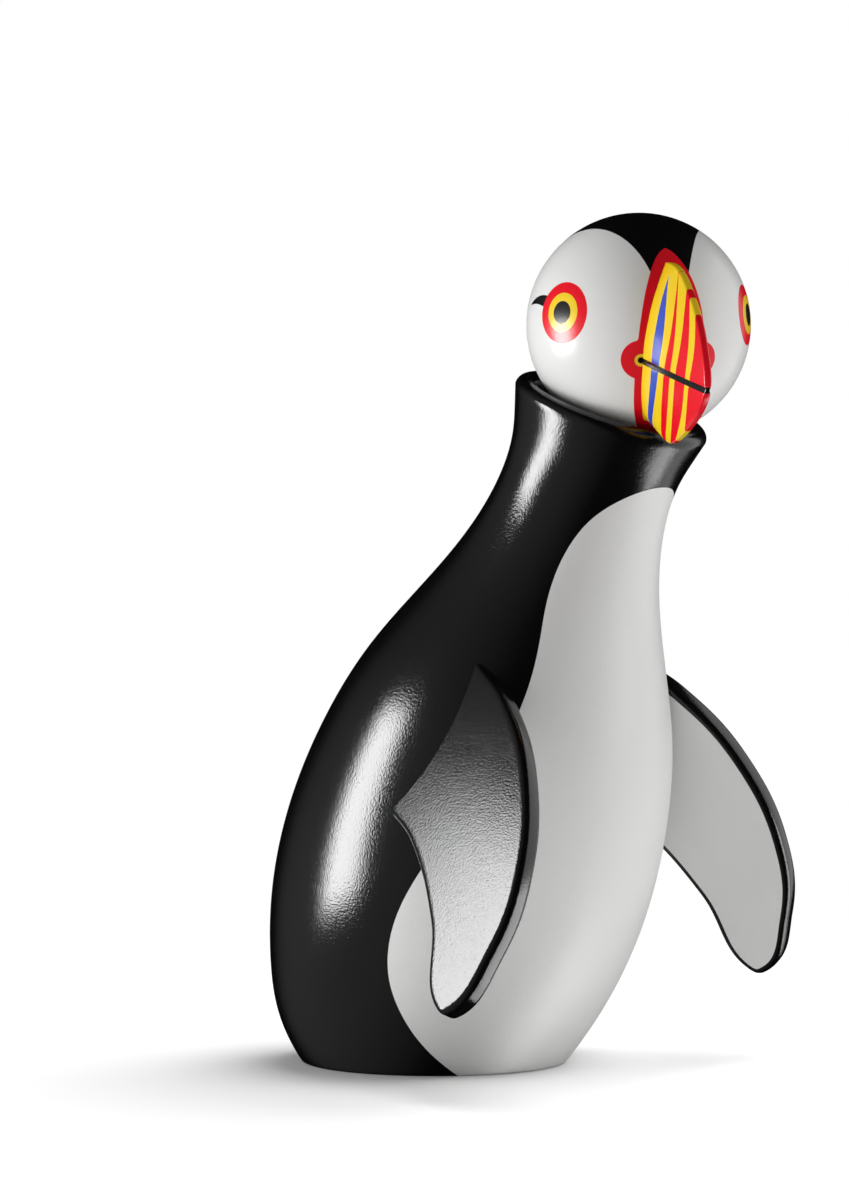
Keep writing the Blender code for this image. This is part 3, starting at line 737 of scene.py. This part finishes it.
# %% Beak surface
def beak_surface():
    """A fan of closed profiles about the ball's centre: flank, ridge, flank and hollow back."""
    seat = BALL_RADIUS + SEAT_CLEARANCE
    dense = np.linspace(ray_angle[0], ray_angle[-1], OUTLINE_SEARCH)
    outside = dense[spline(ray_angle, ray_length, dense) > seat]
    angle = np.linspace(outside[0], outside[-1], FAN_RAYS)[:, None]
    edge = np.maximum(spline(ray_angle, ray_length, angle), seat)
    edge[[0, -1]] = seat
    reach = np.maximum(edge - flank(angle, 0.0, edge)[0], 1e-6)     # never quite 0, to divide by
    round_from = np.clip(1 - RIDGE_ROUND / reach, 0.0, 1.0)
    out = round_from * np.linspace(0.0, 1.0, FLANK_STEPS)[None, :-1]
    turn = np.sin(np.linspace(0.0, math.pi / 2, ROUND_OVER_STEPS))[None, :]
    share = np.concatenate([out, round_from + (1 - round_from) * turn], axis=1)
    length, width = flank(angle, share, edge)
    near_edge = np.clip(1 - (edge - length) / np.minimum(RIDGE_ROUND, reach), 0.0, 1.0)
    width = width - np.minimum(RIDGE_ROUND, 0.5 * width) * (1 - np.sqrt(1 - near_edge ** 2))
    ridge = np.linspace(1.0, -1.0, RIDGE_STEPS + 2)[None, 1:-1]
    back = np.linspace(-1.0, 1.0, BACK_STEPS + 2)[None, 1:-1]
    back_width = width[:, :1] * back
    back_length = np.sqrt(seat ** 2 - back_width ** 2)
    lengths = np.concatenate([length, edge + 0 * ridge, length[:, ::-1], back_length], axis=1)
    widths = np.concatenate([width, width[:, -1:] * ridge, -width[:, ::-1], back_width], axis=1)
    radians = np.radians(angle)[..., None]
    ray = np.cos(radians) * MOUTH + np.sin(radians) * ABOVE
    return (BALL_CENTRE + lengths[..., None] * ray + widths[..., None] * LEFT) * MM


surface = beak_surface()
rows, columns = surface.shape[:2]
fan = grid_quads(rows, columns)
half_row = np.arange(columns // 2)
caps = np.concatenate([quads_between(start + half_row, start + columns - 1 - half_row, closed=False)
                       for start in (0, (rows - 1) * columns)])
beak = new_piece("carved_beak", surface, np.concatenate([fan, caps]), "head", "beak")

# %% [markdown]
# ## Stripes of the beak
#
# Red and blue stripes lie on a yellow ground. Each edge bows towards the tip, so it is written
# as a parabola: how far along the mouth line it stands, at which height it is furthest out, and
# how fast it falls back above and below that. The mouth is a black line in a shallow groove.

# %% Stripe distances
STRIPE_EDGES = {                 # furthest out, at this height, fall above, fall below
    "blue_start": (21.4, -0.6, 0.021, 0.035),
    "blue_end": (24.1, 1.7, 0.050, 0.029),
    "red_1_start": (26.0, 2.7, 0.044, 0.018),
    "red_1_end": (27.9, 1.2, 0.0445, 0.024),
    "red_2_start": (29.6, 1.9, 0.040, 0.022),
    "red_2_end": (32.6, 0.3, 0.042, 0.038),
    "red_3_start": (34.0, 1.7, 0.052, 0.026),
}
MOUTH_LINE_HALF_WIDTH = 0.52


def stripe_maps(points):
    """How far each point lies past each edge, along the mouth line, in millimetres."""
    ray = points / MM - BALL_CENTRE
    along, height = ray @ MOUTH, ray @ ABOVE
    past = {}
    for edge_name, (reach, level, fall_above, fall_below) in STRIPE_EDGES.items():
        above = np.maximum(height - level, 0.0)
        below = np.maximum(level - height, 0.0)
        past[edge_name] = along - (reach - fall_above * above ** 2 - fall_below * below ** 2)
    past["mouth_line"] = MOUTH_LINE_HALF_WIDTH - np.abs(height - mouth_height(along))
    return past


for map_name, distances in stripe_maps(points_of(beak)).items():
    paint_map(beak, map_name, distances)

# %% [markdown]
# ## Node helpers
#
# Materials are node trees. `add` makes a node and fills or links its inputs in one go, `ranged`,
# `noise` and `bumped` make the three nodes that come up most, and `group` opens a node group
# with named sockets, for the effects that several finishes share.

# %% Node helpers
def feed(tree, node, inputs):
    """Link each named input of a node to a socket, or set it to a value."""
    for key, value in inputs.items():
        if isinstance(value, bpy.types.NodeSocket):
            tree.links.new(value, node.inputs[key])
        else:
            node.inputs[key].default_value = value
    return node


def add(tree, kind, inputs=None, **settings):
    """Add a node, change its settings and feed its inputs."""
    node = tree.nodes.new(kind)
    for key, value in settings.items():
        setattr(node, key, value)
    return feed(tree, node, inputs or {})


def maths(tree, operation, *values):
    """The result of a Math node on numbers or sockets."""
    return add(tree, "ShaderNodeMath", dict(enumerate(values)), operation=operation).outputs[0]


def ranged(tree, value, low, high, bottom=0.0, top=1.0, ease="LINEAR"):
    """The way of a value from low to high, clamped and laid out between bottom and top."""
    limits = {"Value": value, "From Min": low, "From Max": high, "To Min": bottom, "To Max": top}
    return add(tree, "ShaderNodeMapRange", limits, interpolation_type=ease).outputs["Result"]


def noise(tree, coordinates, scale, detail):
    """A cloudy value of a given number of clouds to the metre."""
    inputs = {"Vector": coordinates, "Scale": scale, "Detail": detail}
    return add(tree, "ShaderNodeTexNoise", inputs).outputs["Fac"]


def bumped(tree, height, distance):
    """The normal of a surface that a height of 1 lifts by a distance."""
    return add(tree, "ShaderNodeBump", {"Height": height, "Distance": distance}).outputs["Normal"]


def mix(tree, share, under, over):
    """Lay one colour over another by a mask. A Mix node's colours are its inputs 6 and 7."""
    under, over = ((*colour, 1.0) if isinstance(colour, tuple) else colour for colour in (under, over))
    return add(tree, "ShaderNodeMix", {0: share, 6: under, 7: over}, data_type="RGBA").outputs[2]


def group(name, inputs, outputs):
    """A shader node group with named sockets, and the sockets of its inputs and its output node."""
    tree = bpy.data.node_groups.new(name, "ShaderNodeTree")
    for socket_name, kind, value in inputs:
        socket = tree.interface.new_socket(socket_name, in_out="INPUT", socket_type=kind)
        if value is not None:
            socket.default_value = value
    for socket_name, kind in outputs:
        tree.interface.new_socket(socket_name, in_out="OUTPUT", socket_type=kind)
    return tree, add(tree, "NodeGroupInput").outputs, add(tree, "NodeGroupOutput")


def use_group(tree, group_tree, inputs):
    """Place a node group in a material, feed its inputs and give its outputs."""
    return add(tree, "ShaderNodeGroup", inputs, node_tree=group_tree).outputs


# %% [markdown]
# ## Paint edge
#
# A masked edge in lacquer is crisp but not a knife cut: it is about a tenth of a millimetre
# soft. The group turns a distance into a mask with that softness, and shifts the edge if asked.

# %% Paint edge group
FLOAT = "NodeSocketFloat"
VECTOR = "NodeSocketVector"
EDGE_SOFTNESS = 0.05

paint_edge, given, result = group("paint_edge", [("Distance", FLOAT, 0.0), ("Edge", FLOAT, 0.0)],
                                  [("Mask", FLOAT)])
shifted = maths(paint_edge, "SUBTRACT", given["Distance"], given["Edge"])
feed(paint_edge, result, {"Mask": ranged(paint_edge, shifted, -EDGE_SOFTNESS, EDGE_SOFTNESS,
                                         ease="SMOOTHSTEP")})
print("paint edges are", 2 * EDGE_SOFTNESS, "mm soft")

# %% [markdown]
# ## Gloss lacquer
#
# Sprayed lacquer is never quite flat. It dries with an orange peel, ripples less than a
# millimetre across, which break up the edge of every highlight, and over them lies a slower
# wave from sanding. Its gloss also differs a little from place to place. The group gives a
# height for a Bump node and a roughness, from the piece's own coordinates.

# %% Lacquer group
WAVES_PER_METRE = 160.0
CLOUDS_PER_METRE = 45.0
CLOUD_RANGE = (0.3, 0.7)
GLOSS_CHANGE = (0.96, 1.04)
PEEL_DETAIL = 1.5

lacquer, given, result = group(
    "gloss_lacquer",
    [("Coordinates", VECTOR, None), ("Roughness", FLOAT, 0.12), ("Peel Size", FLOAT, 0.7),
     ("Peel Depth", FLOAT, 1.0), ("Wave Depth", FLOAT, 1.0)],
    [("Height", FLOAT), ("Roughness", FLOAT), ("Cloud", FLOAT)])
peel_scale = maths(lacquer, "DIVIDE", 1 / MM, given["Peel Size"])
peel = noise(lacquer, given["Coordinates"], peel_scale, PEEL_DETAIL)
wave = noise(lacquer, given["Coordinates"], WAVES_PER_METRE, 1.0)
cloud = noise(lacquer, given["Coordinates"], CLOUDS_PER_METRE, 3.0)
peel_height = maths(lacquer, "MULTIPLY", peel, given["Peel Depth"])
wave_height = maths(lacquer, "MULTIPLY", wave, given["Wave Depth"])
feed(lacquer, result, {
    "Height": maths(lacquer, "ADD", peel_height, wave_height),
    "Roughness": maths(lacquer, "MULTIPLY", given["Roughness"],
                       ranged(lacquer, cloud, *CLOUD_RANGE, *GLOSS_CHANGE)),
    "Cloud": cloud})
print("lacquer group nodes:", len(lacquer.nodes))

# %% [markdown]
# ## Lacquer colours and the lacquered pieces
#
# The paints are plain and strong. Every lacquered piece has the same build: a ground colour,
# layers of paint laid over it by masks, a faint cloud in the tone, and the lacquer's surface.

# %% Lacquered materials
WHITE = (0.80, 0.80, 0.79)
BLACK = (0.0035, 0.0035, 0.0037)
RED = (0.82, 0.002, 0.014)
YELLOW = (0.90, 0.62, 0.015)
BLUE = (0.03, 0.075, 0.52)
TONE_CHANGE = (0.985, 1.0)
BUMP_HEIGHT = 0.04 * MM


def new_material(name):
    """A material with its tree, its Principled shader and its Object coordinates."""
    made = bpy.data.materials.new(name)
    made.use_nodes = True
    tree = made.node_tree
    coordinates = add(tree, "ShaderNodeTexCoord").outputs["Object"]
    return made, tree, tree.nodes["Principled BSDF"], coordinates


def attribute(tree, name):
    """A stored distance of the piece."""
    return add(tree, "ShaderNodeAttribute", attribute_name=name).outputs["Fac"]


def mask_of(tree, name, edge=0.0, below=False):
    """The mask of a stored distance past an edge, or short of it."""
    distance = attribute(tree, name)
    if below:
        distance, edge = maths(tree, "MULTIPLY", distance, -1.0), -edge
    return use_group(tree, paint_edge, {"Distance": distance, "Edge": edge})["Mask"]


def finish_lacquer(tree, shader, coordinates, colour, **surface):
    """Feed a painted colour and the lacquer's surface to the shader."""
    inputs = {name.replace("_", " ").title(): value for name, value in surface.items()}
    coat = use_group(tree, lacquer, {"Coordinates": coordinates, **inputs})
    tone = ranged(tree, coat["Cloud"], *CLOUD_RANGE, *TONE_CHANGE)
    shade = add(tree, "ShaderNodeVectorMath", {0: colour, "Scale": tone}, operation="SCALE")
    feed(tree, shader, {"Base Color": shade.outputs["Vector"], "Roughness": coat["Roughness"],
                        "Normal": bumped(tree, coat["Height"], BUMP_HEIGHT)})


def body_material():
    """Black lacquer with the white belly, which is duller."""
    made, tree, shader, coordinates = new_material("body_lacquer")
    belly_mask = mask_of(tree, "belly")
    finish_lacquer(tree, shader, coordinates, mix(tree, belly_mask, BLACK, WHITE),
                   roughness=ranged(tree, belly_mask, 0.0, 1.0, 0.15, 0.40),
                   peel_size=0.35, peel_depth=0.95, wave_depth=0.2)
    return made


def wing_material():
    """Black lacquer with the white lining of the inner face."""
    made, tree, shader, coordinates = new_material("wing_lacquer")
    finish_lacquer(tree, shader, coordinates, mix(tree, mask_of(tree, "lining"), BLACK, WHITE),
                   roughness=0.13, peel_size=0.32, peel_depth=0.57, wave_depth=0.0)
    return made


# %% Head and beak materials
EYE_RED = 15.7 * MM_PER_DEGREE
EYE_YELLOW = 10.0 * MM_PER_DEGREE
EYE_PUPIL = 5.8 * MM_PER_DEGREE
GAPE_YELLOW = 3.3 * MM_PER_DEGREE
GAPE_DOT = 1.75 * MM_PER_DEGREE


def head_material():
    """White lacquer with the black crown, the red almond, the eyes and the mouth's corners."""
    made, tree, shader, coordinates = new_material("head_lacquer")
    colour = mix(tree, mask_of(tree, "black"), WHITE, BLACK)
    colour = mix(tree, mask_of(tree, "red"), colour, RED)
    for map_name, radius, paint in (
            ("gape", GAPE_YELLOW, YELLOW), ("gape", GAPE_DOT, BLACK),
            ("eye", EYE_RED, RED), ("eye", EYE_YELLOW, YELLOW), ("eye", EYE_PUPIL, BLACK)):
        colour = mix(tree, mask_of(tree, map_name, radius, below=True), colour, paint)
    finish_lacquer(tree, shader, coordinates, colour, roughness=0.26, peel_size=0.6, peel_depth=0.25,
                   wave_depth=0.3)
    shader.inputs["Specular IOR Level"].default_value = 0.3
    return made


def beak_material():
    """Yellow lacquer with the blue and red stripes and the black mouth line."""
    made, tree, shader, coordinates = new_material("beak_lacquer")
    colour = YELLOW
    for start, end, paint in (("blue_start", "blue_end", BLUE), ("red_1_start", "red_1_end", RED),
                              ("red_2_start", "red_2_end", RED), ("red_3_start", None, RED)):
        stripe = mask_of(tree, start)
        if end:
            stripe = maths(tree, "MINIMUM", stripe, mask_of(tree, end, below=True))
        colour = mix(tree, stripe, colour, paint)
    colour = mix(tree, mask_of(tree, "mouth_line"), colour, BLACK)
    finish_lacquer(tree, shader, coordinates, colour, roughness=0.20, peel_size=0.6, peel_depth=0.25,
                   wave_depth=0.2)
    return made


body.data.materials.append(body_material())
wing_finish = wing_material()
for wing in wings.values():
    wing.data.materials.append(wing_finish)
head.data.materials.append(head_material())
beak.data.materials.append(beak_material())
print("lacquered pieces:", body.name, *[wing.name for wing in wings.values()], head.name, beak.name)

# %% [markdown]
# ## Bare beech, steel and brass
#
# The dowels and the plug under the foot are bare beech: pale brown, with growth rings seen as
# soft bands and short dark flecks along the grain. The swivel's parts are drawn steel wire, a
# turned spindle, and a brass barrel, all with fine tool marks. They keep the CAD solids, which
# already have the right shape, and only get their finishes.

# %% Wood grain group
ALONG_GRAIN = (1.0, 1.0, 0.12)
RINGS_PER_METRE = 130.0
FLECKS_PER_METRE = 2600.0
FLECK_RANGE = (0.58, 0.72)
RING_SHARE = 0.55

wood_grain, given, result = group("wood_grain", [("Coordinates", VECTOR, None)],
                                  [("Tone", FLOAT), ("Height", FLOAT)])
stretched = add(wood_grain, "ShaderNodeMapping",
                {"Vector": given["Coordinates"], "Scale": ALONG_GRAIN}).outputs["Vector"]
rings = add(wood_grain, "ShaderNodeTexWave",
            {"Vector": stretched, "Scale": RINGS_PER_METRE, "Distortion": 3.0, "Detail": 2.0},
            wave_type="RINGS", rings_direction="Z").outputs["Fac"]
flecks = noise(wood_grain, stretched, FLECKS_PER_METRE, 2.0)
fleck_mask = ranged(wood_grain, flecks, *FLECK_RANGE)
ring_tone = maths(wood_grain, "MULTIPLY", rings, RING_SHARE)
feed(wood_grain, result, {"Tone": maths(wood_grain, "ADD", ring_tone, fleck_mask), "Height": flecks})
print("wood grain group nodes:", len(wood_grain.nodes))

# %% Beech, steel and brass
BEECH_LIGHT = (0.62, 0.44, 0.27)
BEECH_DARK = (0.36, 0.21, 0.11)
STEEL = (0.55, 0.55, 0.56)
STEEL_DARK = (0.36, 0.36, 0.37)
BRASS = (0.72, 0.52, 0.20)
BRASS_DARK = (0.50, 0.32, 0.10)
GRAIN_HEIGHT = 0.03 * MM
TOOL_MARK_HEIGHT = 0.004 * MM
ACROSS_TURNING = (0.2, 0.2, 1.0)
MARKS_PER_METRE = 4000.0
TARNISH_PER_METRE = 300.0
TARNISH_RANGE = (0.45, 0.75)


def beech_material():
    """Bare beech, from the wood grain group."""
    made, tree, shader, coordinates = new_material("bare_beech")
    grain = use_group(tree, wood_grain, {"Coordinates": coordinates})
    feed(tree, shader, {"Base Color": mix(tree, grain["Tone"], BEECH_LIGHT, BEECH_DARK), "Roughness": 0.55,
                        "Normal": bumped(tree, grain["Height"], GRAIN_HEIGHT)})
    return made


def metal_material(name, light, dark, roughness):
    """Bare metal with fine tool marks across its length and a little tarnish."""
    made, tree, shader, coordinates = new_material(name)
    squeezed = add(tree, "ShaderNodeMapping", {"Vector": coordinates, "Scale": ACROSS_TURNING})
    marks = noise(tree, squeezed.outputs["Vector"], MARKS_PER_METRE, 2.0)
    tarnish = ranged(tree, noise(tree, coordinates, TARNISH_PER_METRE, 4.0), *TARNISH_RANGE)
    worn = ranged(tree, marks, 0.0, 1.0, roughness - 0.08, roughness + 0.12)
    feed(tree, shader, {"Base Color": mix(tree, tarnish, light, dark), "Metallic": 1.0, "Roughness": worn,
                        "Normal": bumped(tree, marks, TOOL_MARK_HEIGHT)})
    return made


finishes = {"bare_beech": beech_material(), "steel": metal_material("steel", STEEL, STEEL_DARK, 0.3),
            "brass": metal_material("brass", BRASS, BRASS_DARK, 0.3)}
for part in frame["record"]["subparts"]:
    if part["material_slot"] in finishes:
        slots = frame["nodes"][part["node"]].data.materials
        slots.clear()
        slots.append(finishes[part["material_slot"]])

# %% [markdown]
# ## Studio
#
# The bird stands on a pale floor in front of white. The white is only what the camera sees:
# Light Path switches it on for camera rays and for rays that pass through glass. Mirrored rays
# get a dim share of it from one side, because the black lacquer in the picture mirrors a dim
# studio and not a white one. The floor is paper near the bird, which keeps the soft shadow
# round the foot, and fades to plain white further off. The light that it throws back up is
# set by a darker paper that only the other rays meet.

# %% Floor
FLOOR_SIZE = 6.0
FLOOR_DROP = 0.05 * MM
FLOOR_COLOUR = (0.80, 0.80, 0.80)
FLOOR_BOUNCE = (0.60, 0.60, 0.60)
FLOOR_GLOW = 0.10
NEAR_RADIUS = 0.10
FAR_RADIUS = 0.26


def studio_light_path(tree):
    """What the camera meets, also through glass, and what a mirror meets."""
    seen = add(tree, "ShaderNodeLightPath").outputs
    return maths(tree, "MAXIMUM", seen["Is Camera Ray"], seen["Is Transmission Ray"]), seen["Is Glossy Ray"]


def floor_material():
    """Pale paper, with a little glow and a fade to white that only the camera sees."""
    made = bpy.data.materials.new("floor_paper")
    made.use_nodes = True
    tree = made.node_tree
    tree.nodes.clear()
    through, _ = studio_light_path(tree)
    paper = add(tree, "ShaderNodeBsdfDiffuse", {"Color": mix(tree, through, FLOOR_BOUNCE, FLOOR_COLOUR)})
    glow = add(tree, "ShaderNodeEmission", {"Strength": maths(tree, "MULTIPLY", through, FLOOR_GLOW)})
    near = add(tree, "ShaderNodeAddShader", {0: paper.outputs[0], 1: glow.outputs[0]})
    plain = add(tree, "ShaderNodeEmission", {"Strength": 1.0})
    place = add(tree, "ShaderNodeTexCoord").outputs["Object"]
    distance = add(tree, "ShaderNodeVectorMath", {0: place}, operation="LENGTH").outputs["Value"]
    fade = ranged(tree, distance, NEAR_RADIUS, FAR_RADIUS, ease="SMOOTHSTEP")
    away = maths(tree, "MULTIPLY", fade, through)
    blend = add(tree, "ShaderNodeMixShader", {0: away, 1: near.outputs[0], 2: plain.outputs[0]})
    add(tree, "ShaderNodeOutputMaterial", {"Surface": blend.outputs[0]})
    return made


half_floor = FLOOR_SIZE / 2
floor_mesh = bpy.data.meshes.new("floor")
floor_mesh.from_pydata([(x * half_floor, y * half_floor, -FLOOR_DROP)
                        for x, y in ((-1, -1), (1, -1), (1, 1), (-1, 1))], [], [(0, 1, 2, 3)])
floor_mesh.materials.append(floor_material())
floor = placed("floor", floor_mesh)
floor.visible_glossy = False
floor.visible_shadow = False
print("floor side, metres:", FLOOR_SIZE)

# %% World
DIM_GLOSS = 0.26
BRIGHT_SIDE = tuple(toward(-127.0, -8.0))
BRIGHT_EDGES = (0.25, 0.85)      # cosines of the angle to the bright side
AMBIENT = 0.35
HORIZON = 0.02

world = bpy.data.worlds.new("studio")
bpy.context.scene.world = world
world.use_nodes = True
tree = world.node_tree
tree.nodes.clear()
through, glossy = studio_light_path(tree)
way = add(tree, "ShaderNodeTexCoord").outputs["Generated"]
facing = add(tree, "ShaderNodeVectorMath", {0: way, 1: BRIGHT_SIDE}, operation="DOT_PRODUCT")
dim = ranged(tree, facing.outputs["Value"], *BRIGHT_EDGES, 0.0, DIM_GLOSS)
height = add(tree, "ShaderNodeSeparateXYZ", {"Vector": way}).outputs["Z"]
above = ranged(tree, height, -HORIZON, HORIZON)
other = maths(tree, "SUBTRACT", 1.0, maths(tree, "MAXIMUM", through, glossy))
ambient = maths(tree, "MULTIPLY", maths(tree, "MULTIPLY", other, above), AMBIENT)
mirrored = maths(tree, "MULTIPLY", glossy, dim)
strength = maths(tree, "ADD", maths(tree, "ADD", through, mirrored), ambient)
background = add(tree, "ShaderNodeBackground", {"Color": (1.0, 1.0, 1.0, 1.0), "Strength": strength})
add(tree, "ShaderNodeOutputWorld", {"Surface": background.outputs[0]})
print("world nodes:", len(tree.nodes))

# %% [markdown]
# ## Lamps
#
# Two tall soft boxes stand on either side of the camera. A lamp that is mirrored sharply and
# also lights the paint would need one brightness for both, so each box is two lamps: one that
# is only mirrored and one that only lights. The left one is close, and its image in the
# lacquer, a streak down the body, tells where: its edges match an upright rectangle a hand's
# breadth away. The flat wings and the round head mirror other spots of the room than the body
# does, so each has its own copy of that box, and light linking keeps every copy to its piece.
# Two pale cards low on the right draw the thin bright lines on the neck and along the wings'
# edges. A lamp overhead lights only the floor, and the others leave it out.

# %% Lamps
LAMP_TARGET = Vector((0.0, -0.02, 0.08))
LEFT_BOX = Vector((-0.157, 0.112, 0.0745))
LEFT_BOX_FACING = (-136.5, 0.0)
DROP_ON_WINGS = Vector((0.0, 0.0, -0.003))
HEAD_PLACE = Vector(BALL_CENTRE * MM)
HEAD_BOX_FACING = (-137.0, -8.0)
HEAD_BOX_DISTANCE = 0.18


def soft_lamp(name, place, facing, size, radiance, mirrored, only=(), without=()):
    """A rectangular lamp, turned to shine from a direction. It is either mirrored or gives
    light, and it reaches only some objects, or all without some."""
    data = bpy.data.lights.new(name, "AREA")
    data.shape = "RECTANGLE"
    data.size, data.size_y = size
    data.energy = radiance * math.pi * size[0] * size[1]
    lamp = placed(name, data)
    lamp.location = place
    lamp.rotation_euler = turned_to(*facing)
    lamp.visible_camera = False
    lamp.visible_glossy = mirrored
    lamp.visible_diffuse = not mirrored
    print(name, "is mirrored" if mirrored else "gives light")
    receivers = bpy.data.collections.new(name + "_receivers")
    for chosen in (*only, *without):
        receivers.objects.link(chosen)
    for entry in receivers.collection_objects:
        entry.light_linking.link_state = "INCLUDE" if only else "EXCLUDE"
    lamp.light_linking.receiver_collection = receivers


# %% Close boxes
both_wings = tuple(wings.values())
soft_lamp("left_box_mirrored", LEFT_BOX, LEFT_BOX_FACING, (0.080, 0.155), 18.5, True,
          without=(floor, head, *both_wings))
soft_lamp("left_box_on_wings", LEFT_BOX + DROP_ON_WINGS, LEFT_BOX_FACING, (0.080, 0.149), 14.9, True,
          only=both_wings)
soft_lamp("left_box_on_head", HEAD_PLACE + HEAD_BOX_DISTANCE * toward(*HEAD_BOX_FACING), HEAD_BOX_FACING,
          (0.07, 0.07), 32.0, True, only=(head,))

# %% Lamps further off
# Name, azimuth, elevation and distance, size, radiance, whether it is mirrored, what it reaches.
for name, *facing, distance, size, radiance, mirrored, reach in (
        ("left_box_light", -136.0, 2.0, 0.90, (0.20, 0.62), 18.0, False, {"without": (floor,)}),
        ("right_box_mirrored", 48.0, 0.0, 0.50, (0.60, 0.90), 1.2, True, {"without": (floor,)}),
        ("low_card", 44.0, -53.0, 0.70, (0.26, 0.38), 5.0, True, {"only": (body, beak)}),
        ("wing_card", 30.0, -30.0, 0.60, (0.30, 0.60), 5.0, True, {"only": both_wings}),
        ("right_box_light", 38.0, 5.0, 0.90, (0.55, 0.80), 2.1, False, {"without": (floor,)}),
        ("floor_lamp", 62.0, 64.0, 0.80, (1.0, 1.0), 4.0, False, {"only": (floor,)})):
    soft_lamp(name, LAMP_TARGET + distance * toward(*facing), facing, size, radiance, mirrored, **reach)

# %% [markdown]
# ## Finish
#
# View settings stay plain, so a colour renders as it is written.

# %% Finish
bpy.context.scene.view_settings.view_transform = "Standard"
